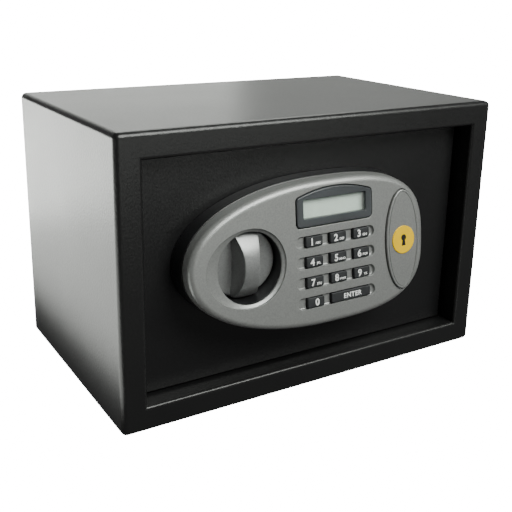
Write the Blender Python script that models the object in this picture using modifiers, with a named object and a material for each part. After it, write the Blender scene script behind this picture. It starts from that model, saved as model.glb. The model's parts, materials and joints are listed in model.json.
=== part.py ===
"""In-room safe with a keypad door: a folded steel cabinet, a recessed door on two pins, and a tilted keypad
housing whose knob throws two bolts behind the door frame.

Run with: blender --background --python part.py
Metres, +Z up. The origin is the middle of the underside, the door faces -Y and its hinge is at +X.
The door is closed with its bolts withdrawn.
"""

import math

import bmesh
import bpy
from mathutils import Matrix, Vector

# ---- Cabinet
CABINET_WIDTH = 0.310
CABINET_HEIGHT = 0.200
CABINET_DEPTH = 0.190
SHEET = 0.002
EDGE_RADIUS = 0.004
FRAME_BORDER = 0.018
OPENING_EDGE_RADIUS = 0.003
ANCHOR_HOLE_RADIUS = 0.005
ANCHOR_SPACING = 0.150
MAT_THICKNESS = 0.0025
MAT_SETBACK = 0.040

# ---- Clearances
TOUCH = 0.0003
SMALL_EDGE = 0.0006
FIT = 0.0002
DOOR_GAP_EDGE = 0.0015
DOOR_GAP_FREE = 0.002
DOOR_GAP_HINGE = 0.0035
STOP_GAP = 0.0004

# ---- Door, its stops and its hinge
RECESS = 0.015
DOOR_THICKNESS = 0.004
STOP_LEDGE = 0.007
STOP_THICKNESS = 0.0025
STOP_OVERLAP = 0.004
HINGE_INSET = 0.012
KNUCKLE_RADIUS = 0.0047
KNUCKLE_LENGTH = 0.030
PIN_RADIUS = 0.003
PIN_LENGTH = 0.0055
PIN_HOLE_CLEARANCE = 0.00015
BRACKET_THICKNESS = 0.0025
BRACKET_REACH = 0.0135
BRACKET_WIDTH = 0.017

# ---- Keypad housing: an egg-shaped outline, blunt at the hinge end
HOUSING_LEFT = 0.1115
HOUSING_RIGHT = 0.085
HOUSING_HALF_HEIGHT = 0.0515
HOUSING_LEFT_POWER = 2.15
HOUSING_RIGHT_POWER = 3.0
HOUSING_RISE = 0.0055
HOUSING_PROJECTION = 0.025
FACE_TILT = math.radians(7)
HOUSING_DRAFT = 0.0015
COVER_DEPTH = 0.009
COVER_WALL = 0.003
COVER_SIDE_WALL = 0.0022
COVER_EDGE_RADIUS = 0.0045
COVER_COVE = 0.001
CUT_PAST = 0.001
BASE_WALL = 0.002
BOSS_RADIUS = 0.0035
BOSS_PILOT_RADIUS = 0.0014
BOSS_PILOT_DEPTH = 0.007
UPPER_BOSS_X = -0.036
UPPER_BOSS_INSET = 0.009
LOWER_BOSS_X = 0.050
LOWER_BOSS_INSET = 0.011
OUTLINE_POINTS = 64

# ---- Knob, its well and the thumb scoop round it
KNOB_X = -0.0658
KNOB_DROP = 0.001
DIAL_RADIUS = 0.0235
DIAL_THICKNESS = 0.0075
DIAL_SINK = 0.012
FIN_HALF_WIDTH = 0.0066
FIN_HEIGHT = 0.015
HUB_RADIUS = 0.008
HUB_LENGTH = 0.004
SPINDLE_RADIUS = 0.004
WELL_CLEARANCE = 0.0011
WELL_WALL = 0.0015
WELL_FLOOR_GAP = 0.0015
SCOOP_LEFT_MARGIN = 0.0094
SCOOP_RIGHT_MARGIN = 0.0026
SCOOP_UP_MARGIN = 0.0022
SCOOP_DEPTH = 0.0022

# ---- Display, in face coordinates from the middle of the housing's face
DISPLAY_X = 0.003
BEZEL_WIDTH = 0.0645
BEZEL_BOTTOM = 0.0204
BEZEL_SHOULDER = 0.0415
BEZEL_CROWN = 0.0462
BEZEL_CORNER = 0.003
BEZEL_PROUD = 0.0008
BEZEL_THICKNESS = 0.0040
WINDOW_WIDTH = 0.0530
WINDOW_HEIGHT = 0.0132
WINDOW_Z = 0.0326
WINDOW_SINK = 0.0006
WINDOW_THICKNESS = 0.0010
PANEL_MARGIN = 0.0025
PANEL_THICKNESS = 0.0028

# ---- Keys, in face coordinates
KEY_WIDTH = 0.0140
KEY_HEIGHT = 0.0072
KEY_PITCH_X = 0.0204
KEY_PITCH_Z = 0.01437
KEY_X = 0.0048
KEY_TOP_Z = 0.0100
KEY_PROUD = 0.0009
KEY_CLEARANCE = 0.0003
KEY_LENGTH = 0.0055
KEY_FLANGE = 0.0008
KEY_FLANGE_THICKNESS = 0.0010
KEY_TRAVEL = 0.0012
TROUGH_DEPTH = 0.0019
TROUGH_MARGIN = 0.0003
TROUGH_LEFT_END = 0.0081
TROUGH_RIGHT_END = 0.0051
MEMBRANE_END = 0.0051
MEMBRANE_THICKNESS = 0.0015
BOARD_THICKNESS = 0.0016
BOARD_MARGIN = 0.006

# ---- Override lock and its oval cap
LOCK_X = 0.0633
LOCK_DROP = 0.0005
CAP_HALF_WIDTH = 0.0153
CAP_HALF_HEIGHT = 0.0371
CAP_PROUD = 0.0015
CAP_SEAT = 0.0010
CAP_GROOVE = 0.0005
BADGE_RADIUS = 0.0104
BADGE_THICKNESS = 0.0004
LOCK_SINK = 0.0032
LOCK_FLANGE_RADIUS = 0.0085
LOCK_FLANGE_THICKNESS = 0.002
LOCK_RADIUS = 0.008
LOCK_REAR_REACH = 0.008
PLUG_RADIUS = 0.0055
PLUG_CLEARANCE = 0.00012
KEYWAY = (0.0018, 0.007, 0.004)
NUT_RADIUS = 0.0125
NUT_THICKNESS = 0.003
OVERRIDE_CAM_LENGTH = 0.022
OVERRIDE_CAM_HALF_WIDTH = 0.004
OVERRIDE_CAM_THICKNESS = 0.002

# ---- Bolt work behind the door plate
BOLT_RADIUS = 0.008
BOLT_SPACING = 0.068
BOLT_PLATE_CLEARANCE = 0.0015
BOLT_THROW = 0.020
BOLT_TIP_INSET = 0.0175
BOLT_REACH = 0.0275
BOLT_SPIGOT_RADIUS = 0.003
BOLT_CLEARANCE = 0.0002
CARRIER_THICKNESS = 0.0025
CARRIER_FLANGE_MARGIN = 0.012
CARRIER_WEB_SET_BACK = 0.0112
CARRIER_WEB_REACH = 0.0358
CARRIER_WEB_LOW = -0.0205
CARRIER_WEB_HIGH = 0.0335
CARRIER_ARM_REACH = 0.028
CARRIER_ARM_DROP = 0.0165
CARRIER_ARM_HEIGHT = 0.012
CRANK_RADIUS = 0.01414
CRANK_PIN_RADIUS = 0.0025
CRANK_SLOT_CLEARANCE = 0.0006
CRANK_THICKNESS = 0.003
CRANK_SET_BACK = 0.0055
CRANK_EYE_RADIUS = 0.0075
POST_RADIUS = 0.0025
POST_HEAD_RADIUS = 0.0045
POST_HEAD_THICKNESS = 0.002
POST_SLOT_CLEARANCE = 0.0003
LEFT_POST_REACH = 0.014
LEFT_POST_RISE = 0.026
RIGHT_POST_REACH = 0.0758
GUIDE_INSET = 0.0032
GUIDE_THICKNESS = 0.0025
GUIDE_FOOT = 0.010
GUIDE_RIM = 0.0025

# ---- Solenoid that blocks the carrier
SOLENOID_X = 0.038
SOLENOID_RISE = 0.030
SOLENOID_HEIGHT = 0.0315
SOLENOID_WIDTH = 0.020
SOLENOID_PLATE = 0.0015
COIL_RADIUS = 0.0082
PLUNGER_RADIUS = 0.003
PLUNGER_CLEARANCE = 0.0003
PLUNGER_TIP_GAP = 0.0005
PLUNGER_REACH = 0.022
COLLAR_RADIUS = 0.006
COLLAR_THICKNESS = 0.0015
COLLAR_DROP = 0.0075
SPRING_RADIUS = 0.0046
SPRING_WIRE = 0.00035
SPRING_TURNS = 4
NOTCH_CLEARANCE = 0.0006
NOTCH_DEPTH = 0.005

# ---- Lock cover, batteries and reset button, on the inside of the door
COVER_BOX_FREE_INSET = 0.019
COVER_BOX_HINGE_INSET = 0.033
COVER_BOX_END_INSET = 0.016
COVER_BOX_DEPTH = 0.036
COVER_SHEET = 0.0015
COVER_FLANGE = 0.007
COVER_SCREW_INSET = 0.022
CELL_RADIUS = 0.00725
CELL_LENGTH = 0.0500
CELL_COUNT = 4
CELL_JOIN = 0.0001
BATTERY_WALL = 0.0015
CELL_TERMINAL_RADIUS = 0.0027
CELL_TERMINAL_HEIGHT = 0.001
BATTERY_INSET = 0.039
BATTERY_RISE = 0.034
BATTERY_DEPTH = 0.0170
BATTERY_END_ROOM = 0.0025
BATTERY_LID_LAP = 0.004
BATTERY_LID_THICKNESS = 0.0018
LID_RIDGE_HALF_WIDTH = 0.012
LID_RIDGE_HEIGHT = 0.003
LID_RIDGE_PROUD = 0.0015
LID_RIDGE_DROP = 0.008
RESET_INSET = 0.016
RESET_DROP = 0.018
RESET_RADIUS = 0.0035
RESET_PROUD = 0.0030
SCREW_HEAD_RADIUS = 0.0035
SCREW_HEAD_HEIGHT = 0.0022
SCREW_RADIUS = 0.0018
CABLE_HOLE_X = 0.017
CABLE_HOLE_RISE = 0.0125
CABLE_HOLE_RADIUS = 0.0065
LEAD_RADIUS = 0.0013

# ---- Places worked out from the sizes above
FRONT_Y = -CABINET_DEPTH / 2
DOOR_FRONT_Y = FRONT_Y + RECESS
DOOR_BACK_Y = DOOR_FRONT_Y + DOOR_THICKNESS
OPENING_RIGHT = CABINET_WIDTH / 2 - FRAME_BORDER
OPENING_TOP = CABINET_HEIGHT - FRAME_BORDER
STOP_Y = DOOR_BACK_Y + STOP_GAP
DOOR_LEFT = -OPENING_RIGHT + DOOR_GAP_FREE
DOOR_RIGHT = OPENING_RIGHT - DOOR_GAP_HINGE
DOOR_BOTTOM = FRAME_BORDER + DOOR_GAP_EDGE
DOOR_TOP = OPENING_TOP - DOOR_GAP_EDGE
HINGE_X = DOOR_RIGHT - HINGE_INSET
HINGE_Y = DOOR_BACK_Y + KNUCKLE_RADIUS + TOUCH
FACE_Y = DOOR_FRONT_Y - HOUSING_PROJECTION
HOUSING_CENTRE_Z = CABINET_HEIGHT / 2 + HOUSING_RISE
KNOB_Z = HOUSING_CENTRE_Z - KNOB_DROP
LOCK_Z = HOUSING_CENTRE_Z - LOCK_DROP
CABLE_HOLE_Z = HOUSING_CENTRE_Z + CABLE_HOLE_RISE
BOSS_PLACES = (
    (UPPER_BOSS_X, HOUSING_CENTRE_Z + HOUSING_HALF_HEIGHT - UPPER_BOSS_INSET),
    (LOWER_BOSS_X, HOUSING_CENTRE_Z - HOUSING_HALF_HEIGHT + LOWER_BOSS_INSET),
)
WELL_RADIUS = DIAL_RADIUS + WELL_CLEARANCE
SCOOP_LEFT = WELL_RADIUS + SCOOP_LEFT_MARGIN
SCOOP_RIGHT = WELL_RADIUS + SCOOP_RIGHT_MARGIN
SCOOP_HALF_HEIGHT = WELL_RADIUS + SCOOP_UP_MARGIN
DIAL_Y = FACE_Y + DIAL_SINK
COVER_BOX_LEFT = -OPENING_RIGHT + COVER_BOX_FREE_INSET
COVER_BOX_RIGHT = OPENING_RIGHT - COVER_BOX_HINGE_INSET
COVER_BOX_BOTTOM = FRAME_BORDER + COVER_BOX_END_INSET
COVER_BOX_TOP = OPENING_TOP - COVER_BOX_END_INSET
BOLT_SET_BACK = GUIDE_THICKNESS + BOLT_RADIUS + BOLT_PLATE_CLEARANCE
BOLT_Y = DOOR_BACK_Y + BOLT_SET_BACK
GUIDE_DEPTH = BOLT_SET_BACK + BOLT_RADIUS + GUIDE_RIM
BOLT_TIP_X = -OPENING_RIGHT + BOLT_TIP_INSET
GUIDE_X = COVER_BOX_LEFT + GUIDE_INSET
CARRIER_FLANGE_X = BOLT_TIP_X + BOLT_REACH
CARRIER_WEB_RIGHT = KNOB_X + CARRIER_WEB_REACH
CARRIER_ARM_RIGHT = SOLENOID_X + CARRIER_ARM_REACH
CARRIER_ARM_TOP = KNOB_Z - CARRIER_ARM_DROP
POST_PLACES = {
    "left": (CARRIER_FLANGE_X + LEFT_POST_REACH, KNOB_Z + LEFT_POST_RISE),
    "right": (KNOB_X + RIGHT_POST_REACH, CARRIER_ARM_TOP - CARRIER_ARM_HEIGHT / 2),
}
WEB_Y = DOOR_BACK_Y + CARRIER_WEB_SET_BACK
CRANK_Y = DOOR_BACK_Y + CRANK_SET_BACK
SOLENOID_Y = WEB_Y + CARRIER_THICKNESS / 2
SOLENOID_BOTTOM = CARRIER_ARM_TOP + SOLENOID_RISE
PLUNGER_TOP = SOLENOID_BOTTOM + PLUNGER_REACH
COLLAR_Z = SOLENOID_BOTTOM - COLLAR_DROP
LOCK_FRONT_Y = FACE_Y + LOCK_SINK
LOCK_BACK_Y = DOOR_BACK_Y + LOCK_REAR_REACH
COVER_BACK_Y = DOOR_BACK_Y + COVER_BOX_DEPTH
BATTERY_X = COVER_BOX_RIGHT - BATTERY_INSET
BATTERY_Y = COVER_BACK_Y - COVER_SHEET - TOUCH - BATTERY_DEPTH
BATTERY_Z = COVER_BOX_BOTTOM + BATTERY_RISE
RESET_X = COVER_BOX_RIGHT - RESET_INSET
RESET_Z = COVER_BOX_TOP - RESET_DROP
FACE = Matrix.Translation((0, FACE_Y, HOUSING_CENTRE_Z)) @ Matrix.Rotation(-FACE_TILT, 4, "X")
ALONG_Y = Matrix.Rotation(math.radians(-90), 4, "X")
ALONG_X = Matrix.Rotation(math.radians(90), 4, "Y")
IN_XZ = Matrix.Rotation(math.radians(90), 4, "X")
IN_YZ = Matrix.Rotation(math.radians(90), 4, "Z") @ Matrix.Rotation(math.radians(90), 4, "X")

PARTS = bpy.data.collections.new("in_room_safe")
HELPERS = bpy.data.collections.new("cutters_and_guides")

MATERIALS = {
    # name: (red, green, blue, roughness, metallic)
    "black_paint": (0.012, 0.012, 0.013, 0.45, 0.0),
    "grey_paint": (0.27, 0.275, 0.28, 0.42, 0.35),
    "black_plastic": (0.010, 0.010, 0.011, 0.40, 0.0),
    "bezel_plastic": (0.055, 0.058, 0.062, 0.30, 0.0),
    "key_rubber": (0.018, 0.018, 0.019, 0.60, 0.0),
    "clear_plastic": (0.80, 0.85, 0.82, 0.05, 0.0),
    "display_glass": (0.42, 0.48, 0.44, 0.35, 0.0),
    "yellow_label": (0.90, 0.68, 0.04, 0.35, 0.0),
    "zinc_steel": (0.60, 0.60, 0.58, 0.30, 1.0),
    "brass": (0.75, 0.58, 0.25, 0.30, 1.0),
    "coil_tape": (0.55, 0.42, 0.05, 0.45, 0.0),
    "board_green": (0.02, 0.16, 0.07, 0.40, 0.0),
    "silicone_grey": (0.25, 0.25, 0.25, 0.60, 0.0),
    "cell_wrap": (0.05, 0.07, 0.12, 0.30, 0.3),
    "red_plastic": (0.60, 0.02, 0.02, 0.35, 0.0),
    "felt": (0.020, 0.020, 0.022, 0.95, 0.0),
    "cable_red": (0.45, 0.03, 0.03, 0.45, 0.0),
}


# ---- Scene and materials
def clear_scene():
    for obj in list(bpy.data.objects):
        bpy.data.objects.remove(obj)
    for collection in (PARTS, HELPERS):
        bpy.context.scene.collection.children.link(collection)


def material(name):
    """The named finish, made the first time that it is asked for."""
    found = bpy.data.materials.get(name)
    if found:
        return found
    red, green, blue, roughness, metallic = MATERIALS[name]
    made = bpy.data.materials.new(name)
    made.use_nodes = True
    shader = made.node_tree.nodes["Principled BSDF"]
    shader.inputs["Base Color"].default_value = (red, green, blue, 1)
    shader.inputs["Roughness"].default_value = roughness
    shader.inputs["Metallic"].default_value = metallic
    return made


def move_to(obj, collection):
    for old in list(obj.users_collection):
        old.objects.unlink(obj)
    collection.objects.link(obj)


def part(obj, name, finish, body=None):
    """Makes obj a named piece with its finish, carried by the empty of the body that it moves with."""
    obj.name = name
    obj.data.name = name
    obj.data.materials.clear()
    obj.data.materials.append(material(finish))
    move_to(obj, PARTS)
    if body:
        obj.parent = body
        obj.matrix_parent_inverse = body.matrix_world.inverted()
    return obj


def helper(obj):
    """Keeps a cutter or a shape that is joined to a piece out of the finished object."""
    obj.hide_render = True
    obj.display_type = "WIRE"
    move_to(obj, HELPERS)
    return obj


def joint_empty(name, place, parent=None):
    """An empty on a joint's axis, which carries the pieces that move with it."""
    empty = bpy.data.objects.new(name, None)
    empty.empty_display_size = 0.01
    PARTS.objects.link(empty)
    empty.location = place
    bpy.context.view_layer.update()
    if parent:
        empty.parent = parent
        empty.matrix_parent_inverse = parent.matrix_world.inverted()
        bpy.context.view_layer.update()
    return empty


# ---- Shapes
def box(low, high, turn=None, bevel=0.0):
    """A box between two corners. With turn, the corners are in that matrix's own axes."""
    low, high = Vector(low), Vector(high)
    bpy.ops.mesh.primitive_cube_add(size=1)
    obj = bpy.context.object
    obj.data.transform(Matrix.Diagonal((*(high - low), 1)))
    obj.matrix_world = (turn or Matrix.Identity(4)) @ Matrix.Translation((low + high) / 2)
    if bevel:
        round_edges(obj, bevel)
    return obj


def round_edges(obj, width, segments=2):
    modifier = obj.modifiers.new("round_edges", "BEVEL")
    modifier.width = width
    modifier.segments = segments
    modifier.limit_method = "ANGLE"
    modifier.angle_limit = math.radians(40)
    return obj


def rod(radius, start, length, axis=ALONG_Y, sides=32):
    """A cylinder that runs for length from start, along +Y, or as axis turns +Z."""
    bpy.ops.mesh.primitive_cylinder_add(vertices=sides, radius=radius, depth=length)
    obj = bpy.context.object
    turned = axis.to_3x3() @ Vector((0, 0, length / 2))
    obj.matrix_world = Matrix.Translation(Vector(start) + turned) @ axis
    obj.data.shade_smooth()
    obj.data.set_sharp_from_angle(angle=math.radians(35))
    return obj


def along_z():
    return Matrix.Identity(4)


def turned(profile, start, axis=ALONG_Y, steps=32):
    """A turned piece: profile holds (radius, distance along the axis) pairs from one end to the other."""
    mesh = bpy.data.meshes.new("turned")
    build = bmesh.new()
    rows = [(0.0, profile[0][1]), *profile, (0.0, profile[-1][1])]
    corners = [build.verts.new((radius, 0, along)) for radius, along in reversed(rows)]
    for first, second in zip(corners, corners[1:]):
        build.edges.new((first, second))
    build.to_mesh(mesh)
    build.free()
    obj = bpy.data.objects.new("turned", mesh)
    bpy.context.scene.collection.objects.link(obj)
    screw = obj.modifiers.new("screw", "SCREW")
    screw.axis = "Z"
    screw.steps = screw.render_steps = steps
    screw.use_merge_vertices = True
    screw.merge_threshold = 0.00005
    obj.matrix_world = Matrix.Translation(Vector(start)) @ axis
    return obj


def outline_solid(outline, thickness, place):
    """A flat outline of (across, up) points, thick on both sides of its own plane, as a closed mesh."""
    curve = bpy.data.curves.new("outline", "CURVE")
    curve.dimensions = "2D"
    curve.fill_mode = "BOTH"
    curve.extrude = thickness / 2
    spline = curve.splines.new("POLY")
    spline.points.add(len(outline) - 1)
    for point, (across, up) in zip(spline.points, outline):
        point.co = (across, up, 0, 1)
    spline.use_cyclic_u = True
    flat = bpy.data.objects.new("outline", curve)
    bpy.context.scene.collection.objects.link(flat)
    flat.matrix_world = place
    return meshed(flat)


def meshed(curve_object):
    """The curve object as a closed mesh with its caps welded, so that it can be cut or joined."""
    bpy.context.view_layer.update()
    graph = bpy.context.evaluated_depsgraph_get()
    mesh = bpy.data.meshes.new_from_object(curve_object.evaluated_get(graph))
    build = bmesh.new()
    build.from_mesh(mesh)
    bmesh.ops.remove_doubles(build, verts=build.verts, dist=0.00001)
    bmesh.ops.recalc_face_normals(build, faces=build.faces)
    build.to_mesh(mesh)
    build.free()
    obj = bpy.data.objects.new("meshed", mesh)
    bpy.context.scene.collection.objects.link(obj)
    obj.matrix_world = curve_object.matrix_world.copy()
    bpy.data.objects.remove(curve_object)
    return obj


def loft(rings):
    """A closed solid through rings of equally many world points, capped at both ends."""
    build = bmesh.new()
    rows = [[build.verts.new(point) for point in ring] for ring in rings]
    count = len(rows[0])
    for lower, upper in zip(rows, rows[1:]):
        for i in range(count):
            j = (i + 1) % count
            build.faces.new((lower[i], lower[j], upper[j], upper[i]))
    build.faces.new(rows[0])
    build.faces.new(rows[-1])
    bmesh.ops.recalc_face_normals(build, faces=build.faces)
    mesh = bpy.data.meshes.new("loft")
    build.to_mesh(mesh)
    build.free()
    obj = bpy.data.objects.new("loft", mesh)
    bpy.context.scene.collection.objects.link(obj)
    obj.data.shade_smooth()
    obj.data.set_sharp_from_angle(angle=math.radians(35))
    return obj


def cable(route, radius):
    """A round cable on a smooth curve through the route's own points."""
    points = smooth_route([Vector(p) for p in route], 6)
    curve = bpy.data.curves.new("cable", "CURVE")
    curve.dimensions = "3D"
    curve.bevel_depth = radius
    curve.bevel_resolution = 2
    curve.use_fill_caps = True
    spline = curve.splines.new("POLY")
    spline.points.add(len(points) - 1)
    for point, place in zip(spline.points, points):
        point.co = (*place, 1)
    obj = bpy.data.objects.new("cable", curve)
    bpy.context.scene.collection.objects.link(obj)
    return obj


def smooth_route(points, steps):
    """Points on a Catmull-Rom curve that passes through the given ones."""
    padded = [2 * points[0] - points[1], *points, 2 * points[-1] - points[-2]]
    found = []
    for a, b, c, d in zip(padded, padded[1:], padded[2:], padded[3:]):
        for i in range(steps):
            t = i / steps
            slope = c - a
            bend = 2 * a - 5 * b + 4 * c - d
            twist = 3 * b - a - 3 * c + d
            found.append(b + 0.5 * (slope * t + bend * t**2 + twist * t**3))
    return [*found, points[-1]]


def boolean(obj, operation, others):
    for other in others:
        modifier = obj.modifiers.new(operation.lower(), "BOOLEAN")
        modifier.operation = operation
        modifier.object = helper(other)
    return obj


def cut(obj, *cutters):
    return boolean(obj, "DIFFERENCE", cutters)


def join(obj, *additions):
    return boolean(obj, "UNION", additions)


# ---- Outlines
def arc(centre, radius, start, end, steps):
    """Points on an arc, its angles in degrees."""
    angles = [math.radians(start + (end - start) * i / steps) for i in range(steps + 1)]
    return [(centre[0] + radius * math.cos(a), centre[1] + radius * math.sin(a)) for a in angles]


def ellipse(half_width, half_height, centre=(0, 0), points=48):
    angles = [2 * math.pi * i / points for i in range(points)]
    return [(centre[0] + half_width * math.cos(a), centre[1] + half_height * math.sin(a)) for a in angles]


def rounded_rectangle(half_width, half_height, corner, centre=(0, 0), steps=4):
    points = []
    for side_x, side_z, start in ((1, -1, -90), (1, 1, 0), (-1, 1, 90), (-1, -1, 180)):
        middle = (centre[0] + side_x * (half_width - corner), centre[1] + side_z * (half_height - corner))
        points += arc(middle, corner, start, start + 90, steps)
    return points


def slot(left, right, middle_z, half_height, steps=8):
    """A level slot with round ends, between its two end points."""
    right_end = arc((right - half_height, middle_z), half_height, -90, 90, steps)
    left_end = arc((left + half_height, middle_z), half_height, 90, 270, steps)
    return right_end + left_end


def egg(grow=0.0, points=OUTLINE_POINTS):
    """The housing's outline about its centre: a superellipse with a longer, softer left half."""
    found = []
    for i in range(points):
        angle = 2 * math.pi * i / points
        across, up = math.cos(angle), math.sin(angle)
        right = across > 0
        reach = (HOUSING_RIGHT if right else HOUSING_LEFT) + grow
        power = 2 / (HOUSING_RIGHT_POWER if right else HOUSING_LEFT_POWER)
        found.append(
            (
                math.copysign(reach * abs(across) ** power, across),
                math.copysign((HOUSING_HALF_HEIGHT + grow) * abs(up) ** power, up),
            )
        )
    return found


def bezel_outline(grow=0.0):
    """The display frame: square shoulders with small corners under a shallow arch."""
    half = BEZEL_WIDTH / 2 + grow
    corner = BEZEL_CORNER + grow
    bottom, shoulder = BEZEL_BOTTOM - grow, BEZEL_SHOULDER + grow
    rise = BEZEL_CROWN - BEZEL_SHOULDER
    shoulder_half = half - corner
    radius = (shoulder_half**2 + rise**2) / (2 * rise)
    sweep = math.degrees(math.asin(shoulder_half / radius))
    points = arc((-half + corner, bottom + corner), corner, 180, 270, 4)
    points += arc((half - corner, bottom + corner), corner, -90, 0, 4)
    points += arc((half - corner, shoulder - corner), corner, 0, 90 - sweep, 4)
    points += arc((0, shoulder + rise - radius), radius, 90 - sweep, 90 + sweep, 10)[1:-1]
    points += arc((-half + corner, shoulder - corner), corner, 90 + sweep, 180, 4)
    return [(across + DISPLAY_X, up) for across, up in points]


def on_face(outline, depth, drop=0.0):
    """World points of an outline drawn on the tilted face, sunk below it, moved down along it by drop."""
    return [FACE @ Vector((across, depth, up - drop)) for across, up in outline]


def face_solid(outline, front, back):
    """A solid whose outline lies on the tilted face, from one depth below it to another."""
    place = FACE @ Matrix.Translation((0, (front + back) / 2, 0)) @ IN_XZ
    return outline_solid(outline, back - front, place)


def face_box(low, high, bevel=0.0):
    return box(low, high, FACE, bevel)


def level_shift(depth):
    """How far up an outline moves as it sinks, so that the walls stay square to the door."""
    return depth * math.tan(FACE_TILT)


# ---- Cabinet
def build_cabinet():
    part(cabinet_shell(), "cabinet_shell", "black_paint")
    part(back_panel(), "back_panel", "black_paint")
    part(door_stop_frame(), "door_stop_frame", "black_paint")
    part(hinge_bracket(1), "hinge_bracket_upper", "black_paint")
    part(hinge_bracket(-1), "hinge_bracket_lower", "black_paint")
    part(floor_mat(), "floor_mat", "felt")


def cabinet_shell():
    """One folded sheet: four walls, the border round the door and the jamb that returns from it."""
    half_width, half_depth = CABINET_WIDTH / 2, CABINET_DEPTH / 2
    build = bmesh.new()
    bmesh.ops.create_cube(build, size=1)
    size = Vector((CABINET_WIDTH, CABINET_DEPTH, CABINET_HEIGHT))
    bmesh.ops.scale(build, vec=size, verts=build.verts)
    bmesh.ops.translate(build, vec=(0, 0, CABINET_HEIGHT / 2), verts=build.verts)
    back = [face for face in build.faces if face.normal.y > 0.5]
    bmesh.ops.delete(build, geom=back, context="FACES_ONLY")
    front = [face for face in build.faces if face.normal.y < -0.5]
    bmesh.ops.inset_region(build, faces=front, thickness=FRAME_BORDER, use_even_offset=True)
    jamb = bmesh.ops.extrude_face_region(build, geom=front)
    rim = [item for item in jamb["geom"] if isinstance(item, bmesh.types.BMVert)]
    bmesh.ops.translate(build, vec=(0, STOP_Y - TOUCH - FRONT_Y, 0), verts=rim)
    inner = [item for item in jamb["geom"] if isinstance(item, bmesh.types.BMFace)]
    bmesh.ops.delete(build, geom=inner, context="FACES_ONLY")
    for face in [face for face in front if face.is_valid]:
        build.faces.remove(face)

    def outer(edge):
        middle = (edge.verts[0].co + edge.verts[1].co) / 2
        on_side = abs(abs(middle.x) - half_width) < TOUCH
        on_end = min(middle.z, CABINET_HEIGHT - middle.z) < TOUCH
        return (on_side and on_end) or (middle.y < -half_depth + TOUCH and (on_side or on_end))

    def opening(edge):
        middle = (edge.verts[0].co + edge.verts[1].co) / 2
        return len(edge.link_faces) == 2 and middle.y < -half_depth + TOUCH and not outer(edge)

    def is_border_mitre(edge):
        return abs(edge.calc_face_angle(0)) < 0.01

    folds = [edge for edge in build.edges if outer(edge) and len(edge.link_faces) == 2]
    bmesh.ops.bevel(build, geom=folds, offset=EDGE_RADIUS, segments=3, profile=0.5, affect="EDGES")
    lips = [edge for edge in build.edges if opening(edge) and not is_border_mitre(edge)]
    lips = [edge for edge in lips if edge.calc_face_angle(0) > math.radians(60)]
    bmesh.ops.bevel(build, geom=lips, offset=OPENING_EDGE_RADIUS, segments=3, profile=0.5, affect="EDGES")
    bmesh.ops.recalc_face_normals(build, faces=build.faces)
    mesh = bpy.data.meshes.new("cabinet_shell")
    build.to_mesh(mesh)
    build.free()
    obj = bpy.data.objects.new("cabinet_shell", mesh)
    bpy.context.scene.collection.objects.link(obj)
    wall = obj.modifiers.new("wall", "SOLIDIFY")
    wall.thickness = SHEET
    wall.offset = -1
    wall.use_even_offset = True
    holes = [
        rod(ANCHOR_HOLE_RADIUS, (side * ANCHOR_SPACING / 2, 0, -SHEET), 3 * SHEET, along_z(), 24)
        for side in (-1, 1)
    ]
    return cut(obj, *holes)


def back_panel():
    """The welded back, between the walls and flush with their edges, with two anchor holes."""
    inside = CABINET_WIDTH / 2 - SHEET - TOUCH
    half_height = CABINET_HEIGHT / 2 - SHEET - TOUCH
    middle = CABINET_HEIGHT / 2
    back = CABINET_DEPTH / 2
    corner = max(EDGE_RADIUS - SHEET, TOUCH)
    outline = rounded_rectangle(inside, half_height, corner, (0, middle))
    panel = outline_solid(outline, SHEET, Matrix.Translation((0, back - SHEET / 2, 0)) @ IN_XZ)
    holes = [
        rod(ANCHOR_HOLE_RADIUS, (side * ANCHOR_SPACING / 2, back - 2 * SHEET, middle), 3 * SHEET, sides=24)
        for side in (-1, 1)
    ]
    return cut(panel, *holes)


def door_stop_frame():
    """A flat U behind the jamb that the door's free edge, top and bottom close against."""
    left = -OPENING_RIGHT - STOP_OVERLAP
    inner_left = -OPENING_RIGHT + STOP_LEDGE
    right = HINGE_X - KNUCKLE_RADIUS - STOP_OVERLAP
    top, bottom = OPENING_TOP + STOP_OVERLAP, FRAME_BORDER - STOP_OVERLAP
    inner_top, inner_bottom = OPENING_TOP - STOP_LEDGE, FRAME_BORDER + STOP_LEDGE
    outline = [
        (left, bottom),
        (right, bottom),
        (right, inner_bottom),
        (inner_left, inner_bottom),
        (inner_left, inner_top),
        (right, inner_top),
        (right, top),
        (left, top),
    ]
    place = Matrix.Translation((0, STOP_Y + STOP_THICKNESS / 2, 0)) @ IN_XZ
    return outline_solid(outline, STOP_THICKNESS, place)


def hinge_bracket(side):
    """An angle on the roof (side 1) or the floor (side -1) of the cabinet, with the hole for a hinge pin."""
    door_edge = DOOR_TOP if side > 0 else DOOR_BOTTOM
    plate_near = door_edge + side * DOOR_GAP_EDGE / 2
    plate_far = plate_near + side * BRACKET_THICKNESS
    wall = CABINET_HEIGHT - SHEET - TOUCH if side > 0 else SHEET + TOUCH
    left = HINGE_X - BRACKET_WIDTH / 2
    right = HINGE_X + BRACKET_WIDTH / 2 + STOP_OVERLAP
    front = STOP_Y
    back = front + BRACKET_REACH
    outline = [
        (front, plate_near),
        (back, plate_near),
        (back, wall),
        (back - BRACKET_THICKNESS, wall),
        (back - BRACKET_THICKNESS, plate_far),
        (front, plate_far),
    ]
    place = Matrix.Translation(((left + right) / 2, 0, 0)) @ IN_YZ
    bracket = outline_solid(outline, right - left, place)
    start = (HINGE_X, HINGE_Y, min(plate_near, plate_far) - BRACKET_THICKNESS)
    hole = rod(PIN_RADIUS + PIN_HOLE_CLEARANCE, start, 3 * BRACKET_THICKNESS, along_z(), 24)
    return cut(bracket, hole)


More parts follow.
